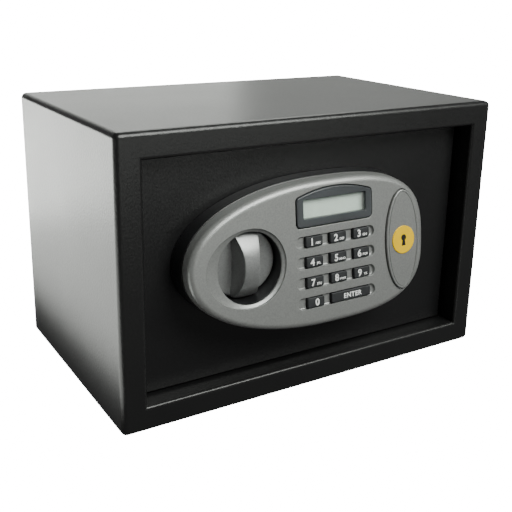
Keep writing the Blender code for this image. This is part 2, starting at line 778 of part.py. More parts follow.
def floor_mat():
    """The felt mat that lies on the cabinet's floor and hides the anchor bolts' heads."""
    inside = CABINET_WIDTH / 2 - EDGE_RADIUS
    front, back = FRONT_Y + MAT_SETBACK, CABINET_DEPTH / 2 - SHEET - 2 * TOUCH
    bottom = SHEET + TOUCH
    return box((-inside, front, bottom), (inside, back, bottom + MAT_THICKNESS))


# ---- Door
def build_door(door):
    part(door_plate(), "door_plate", "black_paint", door)
    for side, name in ((1, "upper"), (-1, "lower")):
        part(hinge_pin(side), f"hinge_pin_{name}", "zinc_steel", door)
    part(housing_base(), "housing_base", "black_plastic", door)
    part(housing_cover(), "housing_cover", "grey_paint", door)
    part(knob_well(), "knob_well", "black_plastic", door)
    build_display(door)
    for i, (across, up) in enumerate(BOSS_PLACES):
        screw = housing_screw(across, up)
        part(screw, f"housing_screw_{i + 1}", "zinc_steel", door)


def door_plate():
    """The flat door with its holes for the spindle, the override lock, the leads and the housing's screws."""
    plate = box((DOOR_LEFT, DOOR_FRONT_Y, DOOR_BOTTOM), (DOOR_RIGHT, DOOR_BACK_Y, DOOR_TOP))
    start = DOOR_FRONT_Y - DOOR_THICKNESS
    length = 3 * DOOR_THICKNESS
    holes = [
        rod(SPINDLE_RADIUS + FIT, (KNOB_X, start, KNOB_Z), length),
        rod(LOCK_RADIUS + FIT, (LOCK_X, start, LOCK_Z), length),
        rod(CABLE_HOLE_RADIUS, (CABLE_HOLE_X, start, CABLE_HOLE_Z), length, sides=24),
    ]
    holes += [
        rod(SCREW_RADIUS + FIT, (across, start, up), length, sides=16) for across, up in BOSS_PLACES
    ]
    return cut(plate, *holes)


def hinge_pin(side):
    """A knuckle welded behind the door's edge, with the spigot that turns in the bracket."""
    door_edge = DOOR_TOP if side > 0 else DOOR_BOTTOM
    shoulder = door_edge + side * (DOOR_GAP_EDGE / 2 - TOUCH)
    profile = [
        (KNUCKLE_RADIUS, 0),
        (KNUCKLE_RADIUS, KNUCKLE_LENGTH),
        (PIN_RADIUS, KNUCKLE_LENGTH),
        (PIN_RADIUS, KNUCKLE_LENGTH + PIN_LENGTH - 0.0008),
        (PIN_RADIUS - 0.0008, KNUCKLE_LENGTH + PIN_LENGTH),
    ]
    start = (HINGE_X, HINGE_Y, shoulder - side * KNUCKLE_LENGTH)
    axis = along_z() if side > 0 else Matrix.Rotation(math.pi, 4, "X")
    return turned(profile, start, axis, 24)


# ---- Keypad housing
def housing_base():
    """The black tray on the door: a floor and drafted walls that rise to the tilted joint."""
    floor_y = DOOR_FRONT_Y - TOUCH
    joint = COVER_DEPTH + TOUCH
    grow_at_joint = HOUSING_DRAFT * joint / HOUSING_PROJECTION

    def ring(outline, depth):
        return on_face(outline, depth, -level_shift(depth))

    def door_ring(outline, y):
        return [Vector((across, y, HOUSING_CENTRE_Z + up)) for across, up in outline]

    outer = loft([door_ring(egg(HOUSING_DRAFT), floor_y), ring(egg(grow_at_joint), joint)])
    rim = egg(grow_at_joint - BASE_WALL)
    inner = loft(
        [
            door_ring(egg(HOUSING_DRAFT - BASE_WALL), floor_y - BASE_WALL),
            ring(rim, joint),
            ring(rim, joint - BASE_WALL),
        ]
    )
    length = 4 * BASE_WALL
    start = floor_y - length / 2
    holes = [
        rod(HUB_RADIUS + 2 * FIT, (KNOB_X, start, KNOB_Z), length),
        rod(LOCK_RADIUS + FIT, (LOCK_X, start, LOCK_Z), length),
        rod(CABLE_HOLE_RADIUS, (CABLE_HOLE_X, start, CABLE_HOLE_Z), length, sides=24),
    ]
    holes += [rod(SCREW_RADIUS + FIT, (across, start, up), length, sides=16) for across, up in BOSS_PLACES]
    return cut(cut(outer, inner), *holes)


def housing_cover():
    """The grey front shell: a rounded rim, openings for all that it frames, and two bosses for its screws."""
    steps = 3
    rings = [(COVER_DEPTH, HOUSING_DRAFT * COVER_DEPTH / HOUSING_PROJECTION)]
    for i in range(steps + 1):
        angle = math.radians(90) * i / steps
        sunk = COVER_EDGE_RADIUS * (1 - math.sin(angle))
        rings.append((sunk, -COVER_EDGE_RADIUS * (1 - math.cos(angle))))
    outer = loft([on_face(egg(grow), depth, -level_shift(depth)) for depth, grow in rings])
    inside_grow = -COVER_SIDE_WALL
    inner_rings = [
        (COVER_DEPTH + COVER_WALL, inside_grow),
        (COVER_WALL + COVER_COVE, inside_grow),
        (COVER_WALL, inside_grow - COVER_COVE),
    ]
    inner = loft([on_face(egg(grow), depth, -level_shift(depth)) for depth, grow in inner_rings])
    shell = join(cut(outer, inner), *cover_bosses())
    pilots = [
        rod(BOSS_PILOT_RADIUS, (across, boss_end() - BOSS_PILOT_DEPTH, up), 2 * BOSS_PILOT_DEPTH, sides=12)
        for across, up in BOSS_PLACES
    ]
    return cut(shell, *pilots, *scoop_cutters(), *display_cutters(), *key_cutters(), *cap_cutters())


def boss_end():
    """How far back the cover's bosses reach: just short of the tray's floor."""
    return DOOR_FRONT_Y - TOUCH - BASE_WALL - TOUCH


def cover_bosses():
    """Posts from the face's wall back to the tray's floor, which the housing's screws pull on."""
    found = []
    for across, up in BOSS_PLACES:
        start = FACE_Y + COVER_WALL / 2 + (up - HOUSING_CENTRE_Z) * math.tan(FACE_TILT)
        found.append(rod(BOSS_RADIUS, (across, start, up), boss_end() - start, sides=20))
    return found


def knob_on_face():
    """Where the knob's axis meets the tilted face, in face coordinates."""
    rise = KNOB_Z - HOUSING_CENTRE_Z
    return KNOB_X, rise / math.cos(FACE_TILT)


def scoop_outline(share, points=48):
    """From the well's round opening (share 0) to the scoop's edge (share 1), longer on the left."""
    across_0, up_0 = knob_on_face()
    found = []
    for i in range(points):
        angle = 2 * math.pi * i / points
        across, up = math.cos(angle), math.sin(angle)
        edge_across = SCOOP_RIGHT if across > 0 else SCOOP_LEFT
        reach_across = WELL_RADIUS + (edge_across - WELL_RADIUS) * share
        reach_up = WELL_RADIUS + (SCOOP_HALF_HEIGHT - WELL_RADIUS) * share
        found.append((across_0 + reach_across * across, up_0 + reach_up * up))
    return found


def scoop_cutters():
    overlap = CUT_PAST
    slope = 1 / SCOOP_DEPTH
    opening = face_solid(scoop_outline(0), -overlap, COVER_DEPTH)
    scoop = loft(
        [
            on_face(scoop_outline(1 + overlap * slope), -overlap),
            on_face(scoop_outline(-overlap * slope), SCOOP_DEPTH + overlap),
        ]
    )
    return opening, scoop


def display_cutters():
    return (face_solid(bezel_outline(FIT), -CUT_PAST, COVER_DEPTH),)


def key_places():
    """(name, across, up, half width) of each key on the face; the wide start key fills two places."""
    half = KEY_WIDTH / 2
    found = []
    for number in range(1, 10):
        row, column = divmod(number - 1, 3)
        across = KEY_X + (column - 1) * KEY_PITCH_X
        found.append((f"key_{number}", across, KEY_TOP_Z - row * KEY_PITCH_Z, half))
    last_row = KEY_TOP_Z - 3 * KEY_PITCH_Z
    found.append(("key_0", KEY_X - KEY_PITCH_X, last_row, half))
    found.append(("key_start", KEY_X + KEY_PITCH_X / 2, last_row, half + KEY_PITCH_X / 2))
    return found


def key_cutters():
    half_height = KEY_HEIGHT / 2 + KEY_CLEARANCE
    trough_half = half_height + TROUGH_MARGIN
    reach = KEY_PITCH_X + KEY_WIDTH / 2
    left, right = KEY_X - reach - TROUGH_LEFT_END, KEY_X + reach + TROUGH_RIGHT_END
    found = []
    for row in range(4):
        up = KEY_TOP_Z - row * KEY_PITCH_Z
        outline = slot(left, right, up, trough_half)
        found.append(face_solid(outline, -CUT_PAST, TROUGH_DEPTH))
    for _, across, up, half in key_places():
        hole_half = half + KEY_CLEARANCE
        low = (across - hole_half, 0, up - half_height)
        high = (across + hole_half, COVER_DEPTH, up + half_height)
        found.append(face_box(low, high))
    return found


def cap_centre():
    return LOCK_X, (LOCK_Z - HOUSING_CENTRE_Z) / math.cos(FACE_TILT)


def cap_cutters():
    outline = ellipse(CAP_HALF_WIDTH + CAP_GROOVE, CAP_HALF_HEIGHT + CAP_GROOVE, cap_centre())
    seat = face_solid(outline, -CUT_PAST, CAP_SEAT)
    hole = rod(LOCK_FLANGE_RADIUS + 2 * FIT, (LOCK_X, FACE_Y - COVER_WALL, LOCK_Z), COVER_DEPTH + COVER_WALL)
    return seat, hole


def knob_well():
    """The black cup that the dial turns in, its rim trimmed to the tilt of the face."""
    floor_front = DIAL_Y + DIAL_THICKNESS + WELL_FLOOR_GAP
    floor_back = floor_front + WELL_WALL
    reach = floor_back - FACE_Y + COVER_DEPTH
    start = (KNOB_X, floor_back - reach, KNOB_Z)
    cup = rod(WELL_RADIUS + WELL_WALL, start, reach, sides=48)
    hollow_start = (KNOB_X, start[1] - WELL_WALL, KNOB_Z)
    hollow = rod(WELL_RADIUS, hollow_start, floor_front - hollow_start[1], sides=48)
    hole = rod(HUB_RADIUS + 2 * FIT, (KNOB_X, floor_front - WELL_WALL, KNOB_Z), 3 * WELL_WALL)
    wide = 2 * WELL_RADIUS
    trim = face_box(
        (KNOB_X - wide, -2 * COVER_DEPTH, -wide), (KNOB_X + wide, COVER_WALL + TOUCH, wide)
    )
    return cut(cup, hollow, hole, trim)


def build_display(door):
    """The display's frame, its clear window and the liquid crystal panel behind it."""
    window_low = WINDOW_Z - WINDOW_HEIGHT / 2
    window_high = WINDOW_Z + WINDOW_HEIGHT / 2
    half = WINDOW_WIDTH / 2
    frame_back = BEZEL_THICKNESS - BEZEL_PROUD
    frame = face_solid(bezel_outline(), -BEZEL_PROUD, frame_back)
    opening = face_box(
        (DISPLAY_X - half, -2 * BEZEL_PROUD, window_low), (DISPLAY_X + half, 2 * frame_back, window_high)
    )
    part(cut(frame, opening), "display_bezel", "bezel_plastic", door)
    inset = half - TOUCH
    window = face_box(
        (DISPLAY_X - inset, WINDOW_SINK, window_low + TOUCH),
        (DISPLAY_X + inset, WINDOW_SINK + WINDOW_THICKNESS, window_high - TOUCH),
    )
    part(window, "display_window", "clear_plastic", door)
    outset = half + PANEL_MARGIN
    panel = face_box(
        (DISPLAY_X - outset, frame_back + TOUCH, window_low - PANEL_MARGIN),
        (DISPLAY_X + outset, frame_back + TOUCH + PANEL_THICKNESS, window_high + PANEL_MARGIN),
    )
    part(panel, "display_panel", "display_glass", door)


# ---- Keys and electronics in the housing
def build_keys(door):
    flange_front = COVER_WALL + TOUCH
    for name, across, up, half in key_places():
        half_height = KEY_HEIGHT / 2
        cap_solid = face_box(
            (across - half, -KEY_PROUD, up - half_height),
            (across + half, KEY_LENGTH - KEY_PROUD, up + half_height),
            0.0006,
        )
        flange = face_box(
            (across - half - KEY_FLANGE, flange_front, up - half_height - KEY_FLANGE),
            (across + half + KEY_FLANGE, flange_front + KEY_FLANGE_THICKNESS, up + half_height + KEY_FLANGE),
        )
        part(join(cap_solid, flange), name, "key_rubber", door)
    reach = KEY_PITCH_X + KEY_WIDTH / 2 + MEMBRANE_END
    low = KEY_TOP_Z - 3 * KEY_PITCH_Z - KEY_HEIGHT
    membrane_front = KEY_LENGTH - KEY_PROUD + KEY_TRAVEL + TOUCH
    membrane_back = membrane_front + MEMBRANE_THICKNESS
    membrane = face_box(
        (KEY_X - reach, membrane_front, low), (KEY_X + reach, membrane_back, KEY_TOP_Z + KEY_HEIGHT)
    )
    part(membrane, "keypad_membrane", "silicone_grey", door)
    board_front = membrane_back + TOUCH
    board = face_box(
        (KEY_X - reach - TOUCH, board_front, low - TOUCH),
        (KEY_X + reach + BOARD_MARGIN, board_front + BOARD_THICKNESS, BEZEL_CROWN - BOARD_MARGIN),
    )
    part(board, "keypad_board", "board_green", door)


# ---- Knob
def build_knob(knob):
    part(knob_solid(), "knob", "grey_paint", knob)
    part(knob_spindle(), "knob_spindle", "zinc_steel", knob)
    part(drive_crank(), "drive_crank", "zinc_steel", knob)


def knob_solid():
    """A sunk dial with a domed grip fin right across it and a hub behind."""
    dial = rod(DIAL_RADIUS, (KNOB_X, DIAL_Y, KNOB_Z), DIAL_THICKNESS, sides=48)
    radius = (DIAL_RADIUS**2 + FIN_HEIGHT**2) / (2 * FIN_HEIGHT)
    sweep = math.degrees(math.asin(DIAL_RADIUS / radius))
    root = DIAL_THICKNESS / 2
    dome = arc((DIAL_Y - FIN_HEIGHT + radius, KNOB_Z), radius, 180 - sweep, 180 + sweep, 14)
    inset = 0.001
    dome = [(y, KNOB_Z + (z - KNOB_Z) * (1 - inset / DIAL_RADIUS)) for y, z in dome]
    outline = [(DIAL_Y + root, dome[0][1]), *dome, (DIAL_Y + root, dome[-1][1])]
    fin = outline_solid(outline, 2 * FIN_HALF_WIDTH, Matrix.Translation((KNOB_X, 0, 0)) @ IN_YZ)
    round_edges(fin, 0.0012)
    hub = rod(HUB_RADIUS, (KNOB_X, DIAL_Y + root, KNOB_Z), DIAL_THICKNESS - root + HUB_LENGTH)
    bore = rod(SPINDLE_RADIUS + FIT, (KNOB_X, DIAL_Y + root, KNOB_Z), DIAL_THICKNESS + HUB_LENGTH)
    return cut(join(dial, fin, hub), bore)


def knob_spindle():
    start = DIAL_Y + DIAL_THICKNESS / 2 + TOUCH
    end = CRANK_Y + CRANK_THICKNESS + FIT
    return rod(SPINDLE_RADIUS, (KNOB_X, start, KNOB_Z), end - start)


def crank_pin_place():
    """The crank's pin stands 45 degrees up and right of the spindle while the bolts are withdrawn."""
    lean = CRANK_RADIUS / math.sqrt(2)
    return KNOB_X + lean, KNOB_Z + lean


def drive_crank():
    """The arm on the spindle, whose pin slides the carrier."""
    pin_x, pin_z = crank_pin_place()
    eye = arc((0, 0), CRANK_EYE_RADIUS, 180, 360, 12)
    tip = arc((0, CRANK_RADIUS), CRANK_PIN_RADIUS + 0.0015, 0, 180, 10)
    turn = Matrix.Rotation(math.radians(45), 4, "Y")
    place = Matrix.Translation((KNOB_X, CRANK_Y + CRANK_THICKNESS / 2, KNOB_Z)) @ turn @ IN_XZ
    arm = outline_solid(eye + tip, CRANK_THICKNESS, place)
    pin_end = WEB_Y + CARRIER_THICKNESS + CRANK_PIN_RADIUS
    pin = rod(CRANK_PIN_RADIUS, (pin_x, CRANK_Y + CRANK_THICKNESS / 2, pin_z), pin_end - CRANK_Y, sides=20)
    bore = rod(SPINDLE_RADIUS + FIT, (KNOB_X, CRANK_Y - CRANK_THICKNESS, KNOB_Z), 3 * CRANK_THICKNESS)
    return cut(join(arm, pin), bore)


# ---- Bolt work
def build_bolt_work(bolt_work, door):
    part(bolt_carrier(), "bolt_carrier", "zinc_steel", bolt_work)
    for side, name in ((1, "upper"), (-1, "lower")):
        part(bolt(side), f"bolt_{name}", "zinc_steel", bolt_work)
    part(bolt_guide(), "bolt_guide", "zinc_steel", door)
    for name, (across, up) in POST_PLACES.items():
        part(guide_post(across, up), f"guide_post_{name}", "zinc_steel", door)


def bolt_z(side):
    return KNOB_Z + side * BOLT_SPACING / 2


def bolt(side):
    """A round bolt, chamfered at its tip, with a spigot riveted through the carrier's flange."""
    chamfer = 0.0012
    shoulder = CARRIER_FLANGE_X - TOUCH - BOLT_TIP_X
    profile = [
        (BOLT_RADIUS - chamfer, 0),
        (BOLT_RADIUS, chamfer),
        (BOLT_RADIUS, shoulder),
        (BOLT_SPIGOT_RADIUS, shoulder),
        (BOLT_SPIGOT_RADIUS, shoulder + 2 * CARRIER_THICKNESS),
    ]
    return turned(profile, (BOLT_TIP_X, BOLT_Y, bolt_z(side)), ALONG_X, 32)


def bolt_carrier():
    """A bent plate: a flange that holds the bolts, a web with the crank's slot and a notched arm."""
    flange = box(
        (CARRIER_FLANGE_X, BOLT_Y - BOLT_RADIUS, bolt_z(-1) - CARRIER_FLANGE_MARGIN),
        (CARRIER_FLANGE_X + CARRIER_THICKNESS, BOLT_Y + BOLT_RADIUS, bolt_z(1) + CARRIER_FLANGE_MARGIN),
    )
    low, high = KNOB_Z + CARRIER_WEB_LOW, KNOB_Z + CARRIER_WEB_HIGH
    arm_low = CARRIER_ARM_TOP - CARRIER_ARM_HEIGHT
    notch_x = SOLENOID_X + BOLT_THROW
    notch_half = PLUNGER_RADIUS + NOTCH_CLEARANCE
    outline = [
        (CARRIER_FLANGE_X + CARRIER_THICKNESS / 2, arm_low),
        (CARRIER_ARM_RIGHT, arm_low),
        (CARRIER_ARM_RIGHT, CARRIER_ARM_TOP),
        (notch_x + notch_half, CARRIER_ARM_TOP),
        (notch_x + notch_half, CARRIER_ARM_TOP - NOTCH_DEPTH),
        (notch_x - notch_half, CARRIER_ARM_TOP - NOTCH_DEPTH),
        (notch_x - notch_half, CARRIER_ARM_TOP),
        (CARRIER_WEB_RIGHT, max(low, CARRIER_ARM_TOP)),
        (CARRIER_WEB_RIGHT, high),
        (CARRIER_FLANGE_X + CARRIER_THICKNESS / 2, high),
    ]
    place = Matrix.Translation((0, WEB_Y + CARRIER_THICKNESS / 2, 0)) @ IN_XZ
    web = outline_solid(outline, CARRIER_THICKNESS, place)
    spigots = [
        rod(
            BOLT_SPIGOT_RADIUS + BOLT_CLEARANCE,
            (CARRIER_FLANGE_X - CARRIER_THICKNESS, BOLT_Y, bolt_z(side)),
            3 * CARRIER_THICKNESS,
            ALONG_X,
            20,
        )
        for side in (-1, 1)
    ]
    return cut(join(flange, web), *spigots, crank_slot(), *post_slots())


def crank_slot():
    """The upright slot in the web that the crank's pin works in."""
    pin_x, pin_z = crank_pin_place()
    half = CRANK_PIN_RADIUS + CRANK_SLOT_CLEARANCE
    low, high = pin_z - half, KNOB_Z + CRANK_RADIUS + half
    front = WEB_Y - CARRIER_THICKNESS
    return box((pin_x - half, front, low), (pin_x + half, front + 3 * CARRIER_THICKNESS, high))


def post_slots():
    """Level slots, one bolt throw long, that ride on the guide posts."""
    half = POST_RADIUS + POST_SLOT_CLEARANCE
    middle = WEB_Y + CARRIER_THICKNESS / 2
    place = Matrix.Translation((0, middle, 0)) @ IN_XZ
    found = []
    for across, up in POST_PLACES.values():
        outline = slot(across - half, across + BOLT_THROW + half, up, half, 6)
        found.append(outline_solid(outline, 3 * CARRIER_THICKNESS, place))
    return found


def guide_post(across, up):
    """A shouldered stud on the door plate, headed so that the carrier can't lift off."""
    start = DOOR_BACK_Y + TOUCH
    head_front = WEB_Y + CARRIER_THICKNESS + TOUCH
    profile = [
        (POST_HEAD_RADIUS, 0),
        (POST_HEAD_RADIUS, WEB_Y - TOUCH - start),
        (POST_RADIUS, WEB_Y - TOUCH - start),
        (POST_RADIUS, head_front - start),
        (POST_HEAD_RADIUS, head_front - start),
        (POST_HEAD_RADIUS, head_front + POST_HEAD_THICKNESS - start),
    ]
    return turned(profile, (across, start, up), ALONG_Y, 20)


def bolt_guide():
    """An angle on the door plate with the two holes that the bolts slide through."""
    start = DOOR_BACK_Y + TOUCH
    low, high = bolt_z(-1) - CARRIER_FLANGE_MARGIN, bolt_z(1) + CARRIER_FLANGE_MARGIN
    left = GUIDE_X - GUIDE_THICKNESS / 2
    right = GUIDE_X + GUIDE_THICKNESS / 2
    wall = box((left, start, low), (right, start + GUIDE_DEPTH, high))
    foot_right = right + GUIDE_FOOT
    foot = box((GUIDE_X, start, low), (foot_right, start + GUIDE_THICKNESS, high))
    holes = [
        rod(
            BOLT_RADIUS + BOLT_CLEARANCE,
            (left - GUIDE_THICKNESS, BOLT_Y, bolt_z(side)),
            3 * GUIDE_THICKNESS,
            ALONG_X,
            32,
        )
        for side in (-1, 1)
    ]
    return cut(join(wall, foot), *holes)


# ---- Solenoid
def build_solenoid(door, plunger):
    part(solenoid_frame(), "solenoid_frame", "zinc_steel", door)
    part(solenoid_coil(), "solenoid_coil", "coil_tape", door)
    part(solenoid_plunger(), "solenoid_plunger", "zinc_steel", plunger)
    part(plunger_spring(), "plunger_spring", "zinc_steel", plunger)


def solenoid_frame():
    """A steel channel open towards the back, with a hole in each end for the plunger."""
    half = SOLENOID_WIDTH / 2
    front, back = SOLENOID_Y - half, SOLENOID_Y + half
    low, high = SOLENOID_BOTTOM, SOLENOID_BOTTOM + SOLENOID_HEIGHT
    plate = SOLENOID_PLATE
    outline = [
        (front, low),
        (back, low),
        (back, low + plate),
        (front + plate, low + plate),
        (front + plate, high - plate),
        (back, high - plate),
        (back, high),
        (front, high),
    ]
    channel = outline_solid(outline, SOLENOID_WIDTH, Matrix.Translation((SOLENOID_X, 0, 0)) @ IN_YZ)
    hole = rod(
        PLUNGER_RADIUS + PLUNGER_CLEARANCE,
        (SOLENOID_X, SOLENOID_Y, low - plate),
        SOLENOID_HEIGHT + 2 * plate,
        along_z(),
        20,
    )
    return cut(channel, hole)


def solenoid_coil():
    low = SOLENOID_BOTTOM + SOLENOID_PLATE + TOUCH
    high = SOLENOID_BOTTOM + SOLENOID_HEIGHT - SOLENOID_PLATE - TOUCH
    coil = rod(COIL_RADIUS, (SOLENOID_X, SOLENOID_Y, low), high - low, along_z(), 28)
    radius = PLUNGER_RADIUS + PLUNGER_CLEARANCE
    start = (SOLENOID_X, SOLENOID_Y, low - CUT_PAST)
    bore = rod(radius, start, high - low + 2 * CUT_PAST, along_z(), 20)
    return cut(coil, bore)


def solenoid_plunger():
    """The rod that drops into the carrier's notch, with the collar that its spring pushes."""
    tip = CARRIER_ARM_TOP + PLUNGER_TIP_GAP
    profile = [
        (PLUNGER_RADIUS - 0.0006, 0),
        (PLUNGER_RADIUS, 0.0006),
        (PLUNGER_RADIUS, COLLAR_Z - tip),
        (COLLAR_RADIUS, COLLAR_Z - tip),
        (COLLAR_RADIUS, COLLAR_Z + COLLAR_THICKNESS - tip),
        (PLUNGER_RADIUS, COLLAR_Z + COLLAR_THICKNESS - tip),
        (PLUNGER_RADIUS, PLUNGER_TOP - tip),
    ]
    return turned(profile, (SOLENOID_X, SOLENOID_Y, tip), along_z(), 20)


def plunger_spring():
    """The compression spring between the collar and the solenoid's frame."""
    low = COLLAR_Z + COLLAR_THICKNESS + SPRING_WIRE + TOUCH / 2
    high = SOLENOID_BOTTOM - SPRING_WIRE - TOUCH / 2
    per_turn = 14
    count = SPRING_TURNS * per_turn
    curve = bpy.data.curves.new("spring", "CURVE")
    curve.dimensions = "3D"
    curve.bevel_depth = SPRING_WIRE
    curve.bevel_resolution = 1
    curve.use_fill_caps = True
    spline = curve.splines.new("POLY")
    spline.points.add(count)
    for i, point in enumerate(spline.points):
        angle = 2 * math.pi * i / per_turn
        across, deep = SPRING_RADIUS * math.cos(angle), SPRING_RADIUS * math.sin(angle)
        point.co = (SOLENOID_X + across, SOLENOID_Y + deep, low + (high - low) * i / count, 1)
    obj = bpy.data.objects.new("spring", curve)
    bpy.context.scene.collection.objects.link(obj)
    return obj


# ---- Override lock under the oval cap
def build_override(door, override, cap):
    part(override_lock_body(), "override_lock_body", "brass", door)
    part(override_lock_nut(), "override_lock_nut", "zinc_steel", door)
    part(override_plug(), "override_plug", "zinc_steel", override)
    part(override_cam(), "override_cam", "zinc_steel", override)
    centre = cap_centre()
    cap_solid = face_solid(ellipse(CAP_HALF_WIDTH, CAP_HALF_HEIGHT, centre), -CAP_PROUD, CAP_SEAT - TOUCH)
    round_edges(cap_solid, SMALL_EDGE, 1)
    part(cap_solid, "override_cap", "grey_paint", cap)
    badge_back = -CAP_PROUD - TOUCH
    badge_outline = ellipse(BADGE_RADIUS, BADGE_RADIUS, centre, 40)
    badge = face_solid(badge_outline, badge_back - BADGE_THICKNESS, badge_back)
    part(badge, "cap_badge", "yellow_label", cap)


def override_lock_body():
    """The barrel of the key lock, flanged at the front and clamped through the door by its nut."""
    length = LOCK_BACK_Y - LOCK_FRONT_Y
    profile = [
        (LOCK_FLANGE_RADIUS, 0),
        (LOCK_FLANGE_RADIUS, LOCK_FLANGE_THICKNESS),
        (LOCK_RADIUS, LOCK_FLANGE_THICKNESS),
        (LOCK_RADIUS, length),
    ]
    body = turned(profile, (LOCK_X, LOCK_FRONT_Y, LOCK_Z), ALONG_Y, 32)
    bore = rod(PLUG_RADIUS + PLUG_CLEARANCE, (LOCK_X, LOCK_FRONT_Y - CUT_PAST, LOCK_Z), length + 2 * CUT_PAST)
    return cut(body, bore)


def override_lock_nut():
    nut = rod(NUT_RADIUS, (LOCK_X, DOOR_BACK_Y + TOUCH, LOCK_Z), NUT_THICKNESS, sides=6)
    bore = rod(LOCK_RADIUS + FIT, (LOCK_X, DOOR_BACK_Y - NUT_THICKNESS, LOCK_Z), 3 * NUT_THICKNESS)
    return cut(nut, bore)


def override_plug():
    """The plug that the emergency key turns, with its keyway."""
    length = LOCK_BACK_Y - LOCK_FRONT_Y + TOUCH / 2
    plug = rod(PLUG_RADIUS, (LOCK_X, LOCK_FRONT_Y, LOCK_Z), length)
    wide, high, deep = KEYWAY
    front = LOCK_FRONT_Y
    keyway = box(
        (LOCK_X - wide / 2, front - deep, LOCK_Z - high / 2),
        (LOCK_X + wide / 2, front + deep, LOCK_Z + high / 2),
    )
    return cut(plug, keyway)


def override_cam():
    """The lever behind the plug. It hangs down at rest, and a quarter turn lifts the plunger's collar."""
    front = LOCK_BACK_Y + TOUCH
    half = OVERRIDE_CAM_HALF_WIDTH
    reach = OVERRIDE_CAM_LENGTH - half
    eye = arc((0, 0), PLUG_RADIUS, 0, 180, 12)
    tip = arc((0, -reach), half, 180, 360, 10)
    place = Matrix.Translation((LOCK_X, front + OVERRIDE_CAM_THICKNESS / 2, LOCK_Z)) @ IN_XZ
    return outline_solid(eye + tip, OVERRIDE_CAM_THICKNESS, place)


# ---- Lock cover, batteries and reset button
def build_inside(door, battery_lid, reset):
    part(lock_cover(), "lock_cover", "black_paint", door)
    part(battery_box(), "battery_box", "black_plastic", door)
    part(batteries(), "batteries", "cell_wrap", door)
    part(battery_lid_plate(), "battery_lid", "black_plastic", battery_lid)
    part(reset_button(), "reset_button", "red_plastic", reset)
    for i, (across, up) in enumerate(cover_screw_places()):
        part(cover_screw(across, up), f"cover_screw_{i + 1}", "zinc_steel", door)
    build_leads(door)


def battery_half_size():
    """Half the battery box's outside, across and up."""
    across = CELL_COUNT * (CELL_RADIUS - CELL_JOIN) + CELL_JOIN + TOUCH + BATTERY_WALL
    up = CELL_LENGTH / 2 + BATTERY_END_ROOM + BATTERY_WALL
    return across, up


def cover_screw_places():
    lines = (COVER_BOX_BOTTOM - COVER_FLANGE / 2, COVER_BOX_TOP + COVER_FLANGE / 2)
    sides = (COVER_BOX_LEFT + COVER_SCREW_INSET, COVER_BOX_RIGHT - COVER_SCREW_INSET)
    return [(across, up) for up in lines for across in sides]


def lock_cover():
    """The folded cover over the bolt work, open for the bolts, the batteries and the reset button."""
    front = DOOR_BACK_Y + TOUCH
    sheet = COVER_SHEET
    outer = box((COVER_BOX_LEFT, front, COVER_BOX_BOTTOM), (COVER_BOX_RIGHT, COVER_BACK_Y, COVER_BOX_TOP))
    inner = box(
        (COVER_BOX_LEFT + sheet, front - sheet, COVER_BOX_BOTTOM + sheet),
        (COVER_BOX_RIGHT - sheet, COVER_BACK_Y - sheet, COVER_BOX_TOP - sheet),
    )
    flanges = [
        box((COVER_BOX_LEFT, front, low), (COVER_BOX_RIGHT, front + sheet, low + COVER_FLANGE + sheet / 2))
        for low in (COVER_BOX_BOTTOM - COVER_FLANGE, COVER_BOX_TOP - sheet / 2)
    ]
    bolt_holes = [
        rod(
            BOLT_RADIUS + 2 * FIT, (COVER_BOX_LEFT - sheet, BOLT_Y, bolt_z(side)), 3 * sheet, ALONG_X, 32
        )
        for side in (-1, 1)
    ]
    across, up = battery_half_size()
    battery_opening = box(
        (BATTERY_X - across + BATTERY_WALL, COVER_BACK_Y - 2 * sheet, BATTERY_Z - up + BATTERY_WALL),
        (BATTERY_X + across - BATTERY_WALL, COVER_BACK_Y + sheet, BATTERY_Z + up - BATTERY_WALL),
    )
    reset_hole = rod(RESET_RADIUS + TOUCH, (RESET_X, COVER_BACK_Y - 2 * sheet, RESET_Z), 3 * sheet, sides=20)
    screw_holes = [
        rod(SCREW_RADIUS + FIT, (x, front - sheet, z), 3 * sheet, sides=16) for x, z in cover_screw_places()
    ]
    return cut(join(cut(outer, inner), *flanges), *bolt_holes, battery_opening, reset_hole, *screw_holes)


def battery_box():
    """An open tray for four cells side by side."""
    across, up = battery_half_size()
    back = COVER_BACK_Y - COVER_SHEET - TOUCH
    tray = box((BATTERY_X - across, BATTERY_Y, BATTERY_Z - up), (BATTERY_X + across, back, BATTERY_Z + up))
    wall = BATTERY_WALL
    hollow = box(
        (BATTERY_X - across + wall, BATTERY_Y + wall, BATTERY_Z - up + wall),
        (BATTERY_X + across - wall, back + wall, BATTERY_Z + up - wall),
    )
    return cut(tray, hollow)


def batteries():
    """Four cells in a row that touch along their sides, made one body there."""
    pitch = 2 * (CELL_RADIUS - CELL_JOIN)
    y = BATTERY_Y + BATTERY_WALL + TOUCH + CELL_RADIUS
    cells = []
    for i in range(CELL_COUNT):
        x = BATTERY_X + (i - (CELL_COUNT - 1) / 2) * pitch
        profile = [
            (CELL_RADIUS, 0),
            (CELL_RADIUS, CELL_LENGTH),
            (CELL_TERMINAL_RADIUS, CELL_LENGTH),
            (CELL_TERMINAL_RADIUS, CELL_LENGTH + CELL_TERMINAL_HEIGHT),
        ]
        axis = along_z() if i % 2 else Matrix.Rotation(math.pi, 4, "X")
        start = BATTERY_Z - CELL_LENGTH / 2 if i % 2 else BATTERY_Z + CELL_LENGTH / 2
        cells.append(turned(profile, (x, y, start), axis, 20))
    return join(cells[0], *cells[1:])


